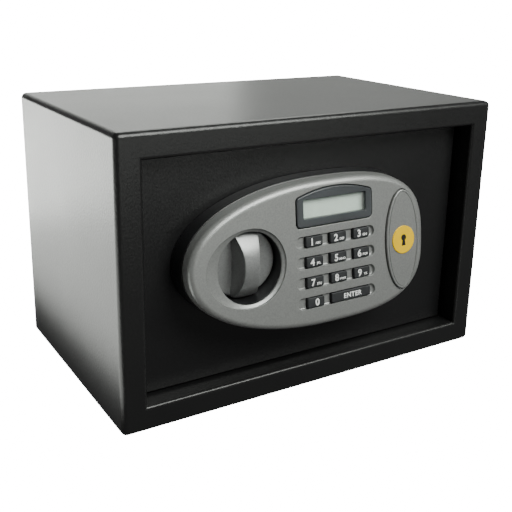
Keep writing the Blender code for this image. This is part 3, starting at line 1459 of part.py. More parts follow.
def battery_lid_plate():
    """The clip-on lid over the battery opening, with a finger ridge."""
    across, up = battery_half_size()
    front = COVER_BACK_Y + TOUCH
    back = front + BATTERY_LID_THICKNESS
    half_x = across + BATTERY_LID_LAP - BATTERY_WALL
    half_z = up + BATTERY_LID_LAP - BATTERY_WALL
    low = (BATTERY_X - half_x, front, BATTERY_Z - half_z)
    high = (BATTERY_X + half_x, back, BATTERY_Z + half_z)
    lid = box(low, high, bevel=SMALL_EDGE)
    ridge_z = high[2] - LID_RIDGE_DROP
    ridge = box(
        (BATTERY_X - LID_RIDGE_HALF_WIDTH, front + BATTERY_LID_THICKNESS / 2, ridge_z),
        (BATTERY_X + LID_RIDGE_HALF_WIDTH, back + LID_RIDGE_PROUD, ridge_z + LID_RIDGE_HEIGHT),
    )
    return join(lid, ridge)


def reset_button():
    """A push button through the lock cover, with a collar behind the sheet."""
    collar = 0.0015
    inner = COVER_BACK_Y - COVER_SHEET - TOUCH
    profile = [
        (RESET_RADIUS + collar, 0),
        (RESET_RADIUS + collar, collar),
        (RESET_RADIUS, collar),
        (RESET_RADIUS, collar + TOUCH + COVER_SHEET + RESET_PROUD),
    ]
    return turned(profile, (RESET_X, inner - collar, RESET_Z), ALONG_Y, 20)


def pan_screw(head_y, across, up, length, direction):
    """A pan-head screw whose head stands behind head_y and whose shank runs the other way."""
    profile = [
        (SCREW_HEAD_RADIUS * 0.7, 0),
        (SCREW_HEAD_RADIUS, SCREW_HEAD_HEIGHT * 0.5),
        (SCREW_HEAD_RADIUS, SCREW_HEAD_HEIGHT),
        (SCREW_RADIUS, SCREW_HEAD_HEIGHT),
        (SCREW_RADIUS, SCREW_HEAD_HEIGHT + length),
    ]
    start = (across, head_y + direction * SCREW_HEAD_HEIGHT, up)
    return turned(profile, start, ALONG_Y if direction < 0 else Matrix.Rotation(math.radians(90), 4, "X"), 16)


def cover_screw(across, up):
    """Holds the lock cover's flange. Its shank ends in the sheet's own hole."""
    return pan_screw(DOOR_BACK_Y + 2 * TOUCH + COVER_SHEET, across, up, COVER_SHEET + TOUCH, 1)


def housing_screw(across, up):
    """Clamps the tray and its cover to the door from behind. Its shank ends short of the cover's boss."""
    return pan_screw(DOOR_BACK_Y + TOUCH, across, up, DOOR_THICKNESS + BASE_WALL + TOUCH, 1)


def build_leads(door):
    """Two leads from the board, through the door, to the coil and to the battery box."""
    board_back = Vector((0, KEY_LENGTH + KEY_TRAVEL + MEMBRANE_THICKNESS + BOARD_THICKNESS + 4 * TOUCH, 0))
    rise = (CABLE_HOLE_Z - HOUSING_CENTRE_Z) / math.cos(FACE_TILT)
    lead_y = (FACE @ Vector((0, board_back.y, rise))).y
    hole_y = (DOOR_FRONT_Y + DOOR_BACK_Y) / 2
    spread = CABLE_HOLE_RADIUS / 2
    behind = DOOR_BACK_Y + 0.006
    coil_left = SOLENOID_X - SOLENOID_WIDTH / 2
    coil_z = SOLENOID_BOTTOM + SOLENOID_HEIGHT / 2
    coil_end = SOLENOID_X - COIL_RADIUS - TOUCH
    solenoid_route = [
        (CABLE_HOLE_X, lead_y, CABLE_HOLE_Z + spread),
        (CABLE_HOLE_X, hole_y, CABLE_HOLE_Z + spread),
        (CABLE_HOLE_X, behind, CABLE_HOLE_Z + spread + 0.001),
        (CABLE_HOLE_X + 0.002, SOLENOID_Y - 0.003, coil_z - 0.006),
        (coil_left - 0.002, SOLENOID_Y, coil_z - 0.001),
        (coil_end, SOLENOID_Y, coil_z),
    ]
    part(cable(solenoid_route, LEAD_RADIUS), "solenoid_lead", "cable_red", door)
    across, up = battery_half_size()
    box_left = BATTERY_X - across
    entry_z = BATTERY_Z + up - 0.006
    entry_y = BATTERY_Y + BATTERY_DEPTH / 2
    battery_route = [
        (CABLE_HOLE_X, lead_y, CABLE_HOLE_Z - spread),
        (CABLE_HOLE_X, hole_y, CABLE_HOLE_Z - spread),
        (CABLE_HOLE_X, behind, CABLE_HOLE_Z - spread - 0.001),
        (CABLE_HOLE_X - 0.001, entry_y - 0.008, CABLE_HOLE_Z - 0.010),
        (CABLE_HOLE_X + 0.002, entry_y - 0.001, entry_z + 0.006),
        (box_left - 0.007, entry_y, entry_z + 0.001),
        (box_left - TOUCH, entry_y, entry_z),
    ]
    part(cable(battery_route, LEAD_RADIUS), "battery_lead", "cable_red", door)


# ---- Assembly
def main():
    clear_scene()
    door = joint_empty("door_axis", (HINGE_X, HINGE_Y, CABINET_HEIGHT / 2))
    knob = joint_empty("knob_axis", (KNOB_X, DIAL_Y, KNOB_Z), door)
    bolt_work = joint_empty("bolt_work_axis", (CARRIER_FLANGE_X, BOLT_Y, KNOB_Z), door)
    plunger = joint_empty("plunger_axis", (SOLENOID_X, SOLENOID_Y, SOLENOID_BOTTOM), door)
    override = joint_empty("override_axis", (LOCK_X, LOCK_FRONT_Y, LOCK_Z), door)
    cap = joint_empty("cap_axis", (LOCK_X, FACE_Y, LOCK_Z), door)
    battery_lid = joint_empty("battery_lid_axis", (BATTERY_X, COVER_BACK_Y, BATTERY_Z), door)
    reset = joint_empty("reset_axis", (RESET_X, COVER_BACK_Y, RESET_Z), door)
    build_cabinet()
    build_door(door)
    build_keys(door)
    build_knob(knob)
    build_bolt_work(bolt_work, door)
    build_solenoid(door, plunger)
    build_override(door, override, cap)
    build_inside(door, battery_lid, reset)


main()
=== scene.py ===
"""Dresses the in-room safe: smooth shells, keys, knob, door furniture and finishes."""

import json
import math

import bmesh
import bpy
from mathutils import Matrix, Vector


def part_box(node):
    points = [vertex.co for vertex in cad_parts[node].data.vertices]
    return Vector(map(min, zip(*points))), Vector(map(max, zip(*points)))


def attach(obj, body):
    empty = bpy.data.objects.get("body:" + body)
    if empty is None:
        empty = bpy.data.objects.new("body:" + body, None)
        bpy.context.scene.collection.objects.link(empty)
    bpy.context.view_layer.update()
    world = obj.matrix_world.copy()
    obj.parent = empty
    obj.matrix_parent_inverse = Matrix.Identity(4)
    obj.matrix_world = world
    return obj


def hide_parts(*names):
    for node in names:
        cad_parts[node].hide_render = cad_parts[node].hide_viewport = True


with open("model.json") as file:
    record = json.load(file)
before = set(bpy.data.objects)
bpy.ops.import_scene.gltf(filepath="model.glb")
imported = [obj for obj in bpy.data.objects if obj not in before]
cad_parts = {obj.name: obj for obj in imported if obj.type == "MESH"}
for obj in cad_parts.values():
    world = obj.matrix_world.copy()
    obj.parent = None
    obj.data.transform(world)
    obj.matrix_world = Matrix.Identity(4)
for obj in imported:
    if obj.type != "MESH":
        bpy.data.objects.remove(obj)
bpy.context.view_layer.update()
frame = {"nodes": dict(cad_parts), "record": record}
bpy.ops.object.select_all(action="DESELECT")

# ---- Sizes, in metres. Places come from the frame's own boxes.
MM = 0.001
GAP = 0.3 * MM
CABINET_LOW, CABINET_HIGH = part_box("cabinet_shell")
DOOR_LOW, DOOR_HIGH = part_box("door_plate")
STOP_LOW, STOP_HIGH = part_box("door_stop_frame")
BASE_LOW, BASE_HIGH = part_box("housing_base")
CASE_LOW, CASE_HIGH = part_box("lock_cover")
CAP_LOW, CAP_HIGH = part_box("override_cap")
MAT_LOW, MAT_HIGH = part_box("floor_mat")
KNOB_LOW, KNOB_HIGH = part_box("knob")
DIAL_RADIUS = (KNOB_HIGH.x - KNOB_LOW.x) / 2
KNOB_X = (KNOB_LOW.x + KNOB_HIGH.x) / 2
KNOB_Z = (KNOB_LOW.z + KNOB_HIGH.z) / 2
LOCK_X = (CAP_LOW.x + CAP_HIGH.x) / 2
PLUG_LOW, PLUG_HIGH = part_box("override_plug")
LOCK_Z = (PLUG_LOW.z + PLUG_HIGH.z) / 2
LEAD_X = 17 * MM
LEAD_Z = 118 * MM
SPINDLE_BORE = 4.2 * MM
HUB_BORE = 8.4 * MM
LOCK_BORE = 8.2 * MM
LEAD_BORE = 6.5 * MM
SCREW_BORE = 2.3 * MM
ANCHOR_BORE = 5 * MM
ANCHOR_SPACING = 75 * MM
SHEET = 2 * MM
BORDER = 18 * MM
FACE_TILT = math.radians(7)
FACE_PROJECTION = 25 * MM
FACE_Y = DOOR_LOW.y - FACE_PROJECTION
FACE_Z = (BASE_LOW.z + BASE_HIGH.z) / 2
DIAL_SINK = 12 * MM
DIAL_Y = FACE_Y + DIAL_SINK
COVER_DEPTH = 9 * MM
COVER_WALL = 3 * MM
COVER_ROUND = 4.5 * MM
HOUSING_LEFT = 111.5 * MM
HOUSING_RIGHT = 85 * MM
HOUSING_HALF_HEIGHT = 51.5 * MM
HOUSING_DRAFT = 1.5 * MM
WELL_RADIUS = 24.6 * MM
WELL_WALL = 1.5 * MM
SCOOP_LEFT = 34 * MM
SCOOP_RIGHT = 27.2 * MM
SCOOP_HALF_HEIGHT = 26.8 * MM
SCOOP_DEPTH = 2.4 * MM
DISPLAY_X = 3 * MM
BEZEL_HALF_WIDTH = 32.25 * MM
BEZEL_BOTTOM = 20.4 * MM
BEZEL_SHOULDER = 41.5 * MM
BEZEL_CROWN = 46.2 * MM
WINDOW_HALF_WIDTH = 26.5 * MM
WINDOW_HALF_HEIGHT = 6.6 * MM
WINDOW_Z = 32.6 * MM
KEY_X = 4.8 * MM
KEY_PITCH_X = 20.4 * MM
KEY_PITCH_Z = 14.37 * MM
KEY_TOP_Z = 10 * MM
KEY_HALF_WIDTH = 7 * MM
KEY_HALF_HEIGHT = 3.6 * MM
KEY_PROUD = 0.9 * MM
KEY_CROWN = 0.16 * MM
TROUGH_X = 3.3 * MM
TROUGH_REACH = 34 * MM
TROUGH_HALF_HEIGHT = 4.2 * MM
CAP_HALF_WIDTH = 15.3 * MM
CAP_HALF_HEIGHT = 37.1 * MM
CAP_Z = -0.5 * MM
CAP_PROUD = 1.5 * MM
BADGE_RADIUS = 10.4 * MM
FACE = Matrix.Translation((0, FACE_Y, FACE_Z)) @ Matrix.Rotation(-FACE_TILT, 4, "X")
TOWARDS_Y = Matrix.Rotation(math.radians(-90), 4, "X")
TOWARDS_X = Matrix.Rotation(math.radians(90), 4, "Y")
LEVEL = math.tan(FACE_TILT)
PAPER_GLOW = 17.0


# ---- Finishes
def arithmetic(operation):
    return lambda *values: values[0].sum(operation, *values)


class Wire:
    """A value in a finish's node tree. Sums on wires are written as ordinary arithmetic."""

    __add__ = __radd__ = arithmetic("ADD")
    __mul__ = __rmul__ = arithmetic("MULTIPLY")
    __sub__ = arithmetic("SUBTRACT")
    __truediv__ = arithmetic("DIVIDE")
    __pow__ = arithmetic("POWER")
    __abs__ = arithmetic("ABSOLUTE")

    def __init__(self, finish, socket):
        self.finish = finish
        self.socket = socket

    def sum(self, operation, *values, clamp=False):
        settings = {"operation": operation, "use_clamp": clamp}
        return self.finish.node("ShaderNodeMath", settings, dict(enumerate(values)))

    def __rsub__(self, other):
        return self.sum("SUBTRACT", other, self)

    def above(self, edge, soft=0.0):
        """0 below the edge and 1 above it, with a straight ramp of the given width between."""
        if not soft:
            return self.sum("GREATER_THAN", self, edge)
        return self.sum("ADD", (self - edge) / soft, 0.5, clamp=True)


class Finish:
    """A material, built node by node on its Principled shader."""

    def __init__(self, name, colour, roughness, metallic=0.0, coat=0.0, coat_roughness=0.1):
        self.material = bpy.data.materials.new(name)
        self.material.use_nodes = True
        self.tree = self.material.node_tree
        self.shader = self.tree.nodes["Principled BSDF"]
        self.set(Base_Color=(*colour, 1), Roughness=roughness, Metallic=metallic)
        self.set(Coat_Weight=coat, Coat_Roughness=coat_roughness)

    def put(self, socket, value):
        if isinstance(value, Wire):
            self.tree.links.new(value.socket, socket)
        else:
            socket.default_value = value

    def set(self, **values):
        for name, value in values.items():
            self.put(self.shader.inputs[name.replace("_", " ")], value)
        return self

    def node(self, kind, settings=None, sockets=None, out=0):
        made = self.tree.nodes.new(kind)
        for name, value in (settings or {}).items():
            setattr(made, name, value)
        for name, value in (sockets or {}).items():
            self.put(made.inputs[name], value)
        return Wire(self, made.outputs[out])

    def place(self):
        return self.node("ShaderNodeTexCoord", out="Object")

    def stretched(self, scale, offset=(0, 0, 0)):
        """Object coordinates with each axis stretched."""
        sockets = {"Vector": self.place(), "Scale": scale, "Location": offset}
        return self.node("ShaderNodeMapping", {}, sockets)

    def noise(self, scale, detail=2.0, rough=0.5, at=None):
        sockets = {"Vector": at or self.place(), "Scale": scale, "Detail": detail, "Roughness": rough}
        return self.node("ShaderNodeTexNoise", {}, sockets)

    def cells(self, scale, at=None, feature="F1"):
        sockets = {"Vector": at or self.place(), "Scale": scale}
        return self.node("ShaderNodeTexVoronoi", {"feature": feature}, sockets)

    def axis(self, name, at=None):
        """One coordinate of a point, in metres."""
        return self.node("ShaderNodeSeparateXYZ", {}, {0: at or self.place()}, out=name)

    def blend(self, share, first, second):
        """From the first colour, where share is 0, to the second, where it is 1."""
        settings = {"data_type": "RGBA"}
        rgba = [value if isinstance(value, Wire) else (*value, 1) for value in (first, second)]
        return self.node("ShaderNodeMix", settings, {0: share, 6: rgba[0], 7: rgba[1]}, out=2)

    def bump(self, height, distance, strength=1.0, under=None):
        sockets = {"Height": height, "Distance": distance, "Strength": strength}
        if under:
            sockets["Normal"] = under
        return self.node("ShaderNodeBump", {}, sockets)


def powder_coat(name, colour, peel, roughness):
    """Baked powder paint: an orange peel about a millimetre across, over a finer grit."""
    finish = Finish(name, colour, roughness)
    peel_noise = finish.noise(620, 1.5, 0.45)
    grit = finish.noise(2600, 1.0)
    cloud = finish.noise(14, 3.0, 0.6)
    wavy = finish.bump(peel_noise, peel)
    rough = roughness + (cloud - 0.5) * 0.06 + (peel_noise - 0.5) * 0.08
    lighter = tuple(1.5 * value for value in colour)
    tone = finish.blend(cloud.above(0.5, 0.5) * 0.5, colour, lighter)
    return finish.set(Base_Color=tone, Roughness=rough, Normal=finish.bump(grit, 0.00002, under=wavy))


def metallic_lacquer(name, colour, roughness):
    """Silver-grey lacquer on a moulding, with its flakes and a faint moulding ripple."""
    finish = Finish(name, colour, roughness, metallic=0.55, coat=0.12, coat_roughness=0.28)
    flake = finish.cells(5200)
    mottle = finish.noise(900, 2.0)
    ripple = finish.noise(60, 2.0)
    dark = tuple(0.86 * value for value in colour)
    light = tuple(1.16 * value for value in colour)
    tone = finish.blend(mottle.above(0.5, 0.35) * 0.6 + flake * 0.35, dark, light)
    rough = roughness + (mottle - 0.5) * 0.12 + (ripple - 0.5) * 0.05
    grain = finish.bump(finish.noise(1500, 1.0), 0.00002)
    return finish.set(Base_Color=tone, Roughness=rough, Normal=finish.bump(ripple, 0.0001, under=grain))


def moulded_black(name, colour, roughness, spark=0.00003):
    """Spark-eroded moulded plastic."""
    finish = Finish(name, colour, roughness)
    grain = finish.noise(2100, 2.0, 0.6)
    cloud = finish.noise(30, 3.0)
    lighter = tuple(1.5 * value for value in colour)
    tone = finish.blend(cloud.above(0.5, 0.6), colour, lighter)
    return finish.set(
        Base_Color=tone, Roughness=roughness + (cloud - 0.5) * 0.12, Normal=finish.bump(grain, spark)
    )


def key_silicone():
    finish = Finish("key_silicone", (0.020, 0.021, 0.023), 0.55)
    grain = finish.noise(1900, 2.0, 0.6)
    worn = finish.noise(160, 3.0)
    tone = finish.blend(worn.above(0.52, 0.4) * 0.6, (0.017, 0.018, 0.020), (0.034, 0.036, 0.039))
    rough = 0.50 + worn * 0.14
    return finish.set(Base_Color=tone, Roughness=rough, Normal=finish.bump(grain, 0.00004))


def print_ink(name, colour, roughness, thin, full):
    """Printed ink, thinner in patches."""
    finish = Finish(name, (colour,) * 3, roughness)
    patch = finish.noise(1400, 2.0)
    return finish.set(Base_Color=finish.blend(patch.above(0.42, 0.3), thin, full))


def liquid_crystal():
    """The reflective panel: grey-green, with painted shade darkening it towards its left and right
    edges, and faint electrode lines.
    """
    finish = Finish("liquid_crystal", (0.52, 0.60, 0.54), 0.45)
    across = abs(finish.axis("X") - DISPLAY_X) / WINDOW_HALF_WIDTH
    # Painted shade: the colour darkens steeply towards the panel's left and right ends, standing in for
    # the shade the frame casts into the window.
    edge = across ** 6.0
    lines = {"Vector": finish.place(), "Scale": 290.0, "Distortion": 0.0}
    band = finish.node("ShaderNodeTexWave", {"bands_direction": "X"}, lines)
    cloud = finish.noise(40, 2.0)
    # The mix: painted edge shade, faint electrode lines and a random cloud.
    share = edge * 0.5 + band * 0.05 + (1 - cloud) * 0.25
    tone = finish.blend(share, (0.66, 0.80, 0.70), (0.44, 0.55, 0.48))
    return finish.set(Base_Color=tone)


def clear_acrylic():
    finish = Finish("clear_acrylic", (0.92, 0.95, 0.93), 0.05)
    smear = finish.noise(110, 3.0)
    finish.material.blend_method = "BLEND"
    return finish.set(Alpha=0.06 + smear * 0.06, Roughness=0.04 + smear * 0.06)


def plated_steel(name, colour, roughness, scale=(1, 1, 1), mottle=0.5):
    """Zinc or nickel plate: fine drawn lines along the unstretched axis, and its cloudy passivation."""
    finish = Finish(name, colour, roughness, metallic=1.0)
    lines = finish.noise(1700, 2.0, 0.6, at=finish.stretched(scale))
    cloud = finish.noise(55, 3.0, 0.6)
    dull = tuple(0.80 * value for value in colour)
    tone = finish.blend(cloud.above(0.5, 0.5) * mottle, colour, dull)
    rough = roughness + (lines - 0.5) * 0.16 + (cloud - 0.5) * 0.12
    return finish.set(Base_Color=tone, Roughness=rough, Normal=finish.bump(lines, 0.00002))


def needle_felt():
    """Charcoal needle felt: matted fibres in two directions and a soft nap."""
    finish = Finish("needle_felt", (0.030, 0.030, 0.033), 0.95)
    finish.set(Sheen_Weight=0.35, Sheen_Roughness=0.5)
    along = finish.noise(1500, 2.0, 0.6, at=finish.stretched((0.25, 1, 1)))
    over = finish.noise(1500, 2.0, 0.6, at=finish.stretched((1, 0.25, 1), (3, 5, 7)))
    nap = finish.noise(90, 3.0, 0.6)
    fibres = along * 0.5 + over * 0.5
    share = fibres.above(0.5, 0.3) * 0.7 + nap * 0.3
    tone = finish.blend(share, (0.018, 0.018, 0.020), (0.055, 0.055, 0.060))
    return finish.set(Base_Color=tone, Normal=finish.bump(fibres, 0.0005, under=finish.bump(nap, 0.001)))


def circuit_board():
    """Green solder mask over a grid of tracks and plated holes."""
    finish = Finish("circuit_board", (0.02, 0.16, 0.07), 0.35)
    tracks = finish.cells(260, feature="DISTANCE_TO_EDGE").above(0.06, 0.03)
    pads = finish.cells(170).above(0.16, 0.05)
    masked = finish.blend(tracks, (0.04, 0.26, 0.11), (0.012, 0.11, 0.05))
    return finish.set(Base_Color=finish.blend(pads, (0.62, 0.56, 0.40), masked))


def wound_tape():
    finish = Finish("wound_tape", (0.55, 0.40, 0.05), 0.4)
    lap = finish.node(
        "ShaderNodeTexWave",
        {"bands_direction": "Z", "wave_profile": "SAW"},
        {"Vector": finish.place(), "Scale": 60.0, "Distortion": 0.4},
    )
    tone = finish.blend(lap, (0.62, 0.45, 0.06), (0.42, 0.30, 0.04))
    return finish.set(Base_Color=tone, Normal=finish.bump(lap, 0.00015))


def cell_wrap():
    """A printed sleeve: dark, then copper at one end, with a fine white line between."""
    finish = Finish("cell_wrap", (0.012, 0.012, 0.014), 0.28, coat=0.4)
    low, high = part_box("batteries")
    up = (finish.axis("Z") - low.z) / (high.z - low.z)
    scuff = finish.noise(420, 3.0, 0.6)
    dark = finish.blend(scuff.above(0.6, 0.2) * 0.3, (0.012, 0.012, 0.014), (0.05, 0.05, 0.055))
    sleeve = finish.blend(up.above(0.74, 0.004), dark, (0.62, 0.27, 0.10))
    line = up.above(0.722, 0.002) - up.above(0.737, 0.002)
    tone = finish.blend(line, sleeve, (0.75, 0.75, 0.74))
    metallic = up.above(0.74, 0.004) * 0.8
    return finish.set(Base_Color=tone, Metallic=metallic, Roughness=0.26 + scuff * 0.08)


def soft_plastic(name, colour, roughness, scale=900):
    finish = Finish(name, colour, roughness)
    grain = finish.noise(scale, 2.0)
    darker = tuple(0.75 * value for value in colour)
    tone = finish.blend(finish.noise(70, 3.0).above(0.5, 0.5) * 0.6, colour, darker)
    rough = roughness + (grain - 0.5) * 0.15
    return finish.set(Base_Color=tone, Roughness=rough, Normal=finish.bump(grain, 0.00003))


def yellow_resin():
    finish = soft_plastic("yellow_resin", (1.0, 0.62, 0.0), 0.45, 300)
    return finish.set(Specular_IOR_Level=0.15)


def make_finishes():
    return {
        "cabinet_paint": powder_coat("cabinet_powder_coat", (0.008, 0.008, 0.0082), 0.00012, 0.34),
        "door_paint": powder_coat("door_powder_coat", (0.007, 0.007, 0.0074), 0.00010, 0.34),
        "inner_paint": powder_coat("inner_powder_coat", (0.030, 0.030, 0.031), 0.00025, 0.45),
        "housing_grey": metallic_lacquer("housing_lacquer", (0.30, 0.305, 0.30), 0.42),
        "knob_grey": metallic_lacquer("knob_lacquer", (0.29, 0.295, 0.295), 0.40),
        "black_plastic": moulded_black("moulded_black", (0.010, 0.010, 0.011), 0.36),
        "bezel_plastic": moulded_black("bezel_grey", (0.042, 0.046, 0.050), 0.30, 0.00002),
        "clear_plastic": clear_acrylic(),
        "display_glass": liquid_crystal(),
        "key_rubber": key_silicone(),
        "white_print": print_ink("white_print", 0.88, 0.5, (0.80, 0.80, 0.79), (0.94, 0.94, 0.93)),
        "black_print": print_ink("black_print", 0.012, 0.4, (0.018,) * 3, (0.010,) * 3),
        "silicone_grey": soft_plastic("membrane_silicone", (0.25, 0.25, 0.25), 0.6),
        "board_green": circuit_board(),
        "yellow_label": yellow_resin(),
        "zinc_steel": plated_steel("zinc_plate", (0.62, 0.61, 0.58), 0.30, (1, 1, 0.06)),
        "bolt_steel": plated_steel("turned_bolt", (0.70, 0.70, 0.70), 0.20, (1, 0.08, 0.08), 0.25),
        "spring_steel": plated_steel("spring_wire", (0.50, 0.50, 0.51), 0.28),
        "brass": plated_steel("turned_brass", (0.72, 0.53, 0.22), 0.25, (0.08, 1, 0.08)),
        "coil_tape": wound_tape(),
        "cell_wrap": cell_wrap(),
        "red_plastic": soft_plastic("red_button", (0.60, 0.02, 0.015), 0.35),
        "felt": needle_felt(),
        "cable_red": soft_plastic("wire_sheath", (0.42, 0.02, 0.02), 0.4),
    }


# ---- Modelling helpers
def active(obj):
    bpy.ops.object.select_all(action="DESELECT")
    obj.select_set(True)
    bpy.context.view_layer.objects.active = obj
    return obj


def edit(obj, kind="FACE"):
    active(obj)
    bpy.ops.object.mode_set(mode="EDIT")
    bpy.context.tool_settings.mesh_select_mode = (kind == "VERT", kind == "EDGE", kind == "FACE")
    bpy.ops.mesh.select_all(action="DESELECT")


def edit_all(obj):
    edit(obj)
    bpy.ops.mesh.select_all(action="SELECT")


def leave():
    bpy.ops.object.mode_set(mode="OBJECT")


def pick(rule, kind="FACE"):
    """Selects the faces or edges of the mesh in edit mode that meet the rule, and nothing else."""
    obj = bpy.context.object
    mesh = bmesh.from_edit_mesh(obj.data)
    found = 0
    for item in mesh.verts[:] + mesh.edges[:] + mesh.faces[:]:
        item.select_set(False)
    for item in mesh.faces if kind == "FACE" else mesh.edges:
        if rule(item):
            item.select_set(True)
            found += 1
    mesh.select_flush_mode()
    bmesh.update_edit_mesh(obj.data)
    return found


def middle(item):
    return sum((vert.co for vert in item.verts), Vector()) / len(item.verts)


def outwards(obj):
    edit_all(obj)
    bpy.ops.mesh.remove_doubles(threshold=0.000002)
    bpy.ops.mesh.normals_make_consistent(inside=False)
    leave()
    return obj


def modify(obj, kind, **settings):
    """Adds a modifier, sets it and applies it."""
    active(obj)
    modifier = obj.modifiers.new(kind.lower(), kind)
    for name, value in settings.items():
        setattr(modifier, name, value)
    bpy.ops.object.modifier_apply(modifier=modifier.name)
    return obj


def soften(obj, width, segments=2, angle=35):
    limit = {"limit_method": "ANGLE", "angle_limit": math.radians(angle)}
    return modify(obj, "BEVEL", width=width, segments=segments, **limit)


def cut(obj, *cutters):
    for cutter in cutters:
        modify(obj, "BOOLEAN", operation="DIFFERENCE", solver="EXACT", object=cutter)
        bpy.data.objects.remove(cutter)
    return obj


def join(obj, *additions):
    for addition in additions:
        modify(obj, "BOOLEAN", operation="UNION", solver="EXACT", object=addition)
        bpy.data.objects.remove(addition)
    return obj


def settle(obj, turn=None):
    """Turns a piece to its place and leaves its object at the origin, unturned and unscaled."""
    active(obj)
    if turn:
        obj.matrix_world = turn @ obj.matrix_world
    bpy.ops.object.transform_apply(location=True, rotation=True, scale=True)
    return obj


def smooth(obj, angle=32, weigh=True):
    active(obj)
    bpy.ops.object.shade_smooth_by_angle(angle=math.radians(angle))
    if weigh:
        modify(obj, "WEIGHTED_NORMAL", mode="FACE_AREA", weight=80, keep_sharp=True)
    return obj


def tower(rings):
    """A closed solid through rings of equally many points, extruded from ring to ring."""
    bpy.ops.object.select_all(action="DESELECT")
    bpy.ops.mesh.primitive_circle_add(vertices=len(rings[0]), radius=1, fill_type="NGON")
    obj = bpy.context.object
    for vert, point in zip(obj.data.vertices, rings[0]):
        vert.co = point
    edit_all(obj)
    for last, ring in zip(rings, rings[1:]):
        bpy.ops.mesh.extrude_region_move()
        mesh = bmesh.from_edit_mesh(obj.data)
        cap = next(face for face in mesh.faces if face.select)
        corners = [loop.vert for loop in cap.loops]
        first = min(range(len(corners)), key=lambda i: (corners[i].co - Vector(last[0])).length)
        corners = corners[first:] + corners[:first]
        if (corners[1].co - Vector(last[1])).length > (corners[-1].co - Vector(last[1])).length:
            corners = corners[:1] + corners[:0:-1]
        for vert, point in zip(corners, ring):
            vert.co = point
        bmesh.update_edit_mesh(obj.data)
    leave()
    edit_all(obj)
    bpy.ops.mesh.normals_make_consistent(inside=False)
    leave()
    return obj


def block(low, high, radius=0.0, segments=3):
    """A box between two corners with rounded edges."""
    low, high = Vector(low), Vector(high)
    bpy.ops.object.select_all(action="DESELECT")
    bpy.ops.mesh.primitive_cube_add(size=1, location=(low + high) / 2, scale=high - low)
    obj = settle(bpy.context.object)
    if radius:
        edit_all(obj)
        bpy.ops.mesh.bevel(offset=radius, segments=segments, affect="EDGES")
        leave()
    return obj


def directions(count):
    """(cosine, sine) pairs evenly round a circle."""
    angles = [2 * math.pi * i / count for i in range(count)]
    return [(math.cos(angle), math.sin(angle)) for angle in angles]


def circle(radius, along, sides):
    """A ring about +Z at a distance along it."""
    return [(radius * across, radius * up, along) for across, up in directions(sides)]


def turned(profile, start, turn=TOWARDS_Y, sides=64):
    """A solid of revolution: (radius, distance) pairs along an axis that starts at a point."""
    obj = tower([circle(radius, along, sides) for radius, along in profile])
    return settle(obj, Matrix.Translation(Vector(start)) @ turn)


def drill(radius, length, start, turn=TOWARDS_Y, sides=48):
    """A plain round cutter."""
    return turned([(radius, 0), (radius, length)], start, turn, sides)


def centre_of(node):
    low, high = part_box(node)
    return (low + high) / 2


def on_face(obj, angle=30, weigh=True):
    """Moves a piece from the face's own axes to its place and smooths it."""
    return smooth(settle(obj, FACE), angle, weigh)


def arc(centre, radius, start, end, steps):
    angles = [math.radians(start + (end - start) * i / steps) for i in range(steps + 1)]
    return [(centre[0] + radius * math.cos(a), centre[1] + radius * math.sin(a)) for a in angles]


def fillet(radius, steps, depth=0.0):
    """(depth, inset) pairs round a quarter circle, from the flank to the face."""
    pairs = []
    for i in range(steps + 1):
        angle = math.radians(90) * i / steps
        pairs.append((depth + radius * (1 - math.sin(angle)), radius * (1 - math.cos(angle))))
    return pairs


def ellipse(half_width, half_height, centre=(0.0, 0.0), points=96):
    x, z = centre
    return [(x + half_width * across, z + half_height * up) for across, up in directions(points)]


def rounded(half_width, half_height, corner, centre=(0.0, 0.0), steps=6):
    """A rectangle with round corners."""
    corner = min(corner, half_width, half_height)
    points = []
    for side_x, side_z, start in ((1, -1, -90), (1, 1, 0), (-1, 1, 90), (-1, -1, 180)):
        at = (centre[0] + side_x * (half_width - corner), centre[1] + side_z * (half_height - corner))
        points += arc(at, corner, start, start + 90, steps)
    return points


def sunk(outline, depth, lift=0.0):
    """An (across, up) outline as points in the face's own axes, below its surface."""
    return [(across, depth, up + lift) for across, up in outline]


def prism(outline, near, far):
    """A straight solid from one depth below the face to another."""
    return tower([sunk(outline, near), sunk(outline, far)])


def egg(grow=0.0, points=224):
    """The housing's outline: a superellipse with a longer, softer left half."""
    found = []
    for across, up in directions(points):
        right = across > 0
        reach = (HOUSING_RIGHT if right else HOUSING_LEFT) + grow
        power = 2 / 3.0 if right else 2 / 2.15
        found.append(
            (
                math.copysign(reach * abs(across) ** power, across),
                math.copysign((HOUSING_HALF_HEIGHT + grow) * abs(up) ** power, up),
            )
        )
    return found


def level_egg(depth, grow):
    """The housing's outline below its face, kept square to the door as it sinks."""
    return sunk(egg(grow), depth, depth * LEVEL)


def finish_piece(obj, name, body, finish, *nodes, slot=None):
    """Names a piece, gives it its finish and hangs it on its body in place of the frame's own nodes."""
    obj.name = name
    obj.data.name = name
    obj.data.materials.clear()
    obj.data.materials.append(finishes[finish].material)
    slot = slot or finish
    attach(obj, body)
    if nodes:
        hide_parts(*nodes)
    return obj


# ---- Cabinet
def make_cabinet():
    shell = cabinet_shell()
    finish_piece(shell, "cabinet_body", "cabinet", "cabinet_paint", "cabinet_shell")
    back = smooth(soften(cabinet_back(), 0.4 * MM))
    finish_piece(back, "cabinet_back", "cabinet", "cabinet_paint", "back_panel")
    stop = smooth(soften(door_stop(), 0.4 * MM))
    finish_piece(stop, "door_stop", "cabinet", "inner_paint", "door_stop_frame", slot="cabinet_paint")
    for side in ("upper", "lower"):
        bracket = hinge_bracket(side)
        node = f"hinge_bracket_{side}"
        finish_piece(bracket, f"{node}_plate", "cabinet", "inner_paint", node, slot="cabinet_paint")
    make_mat()


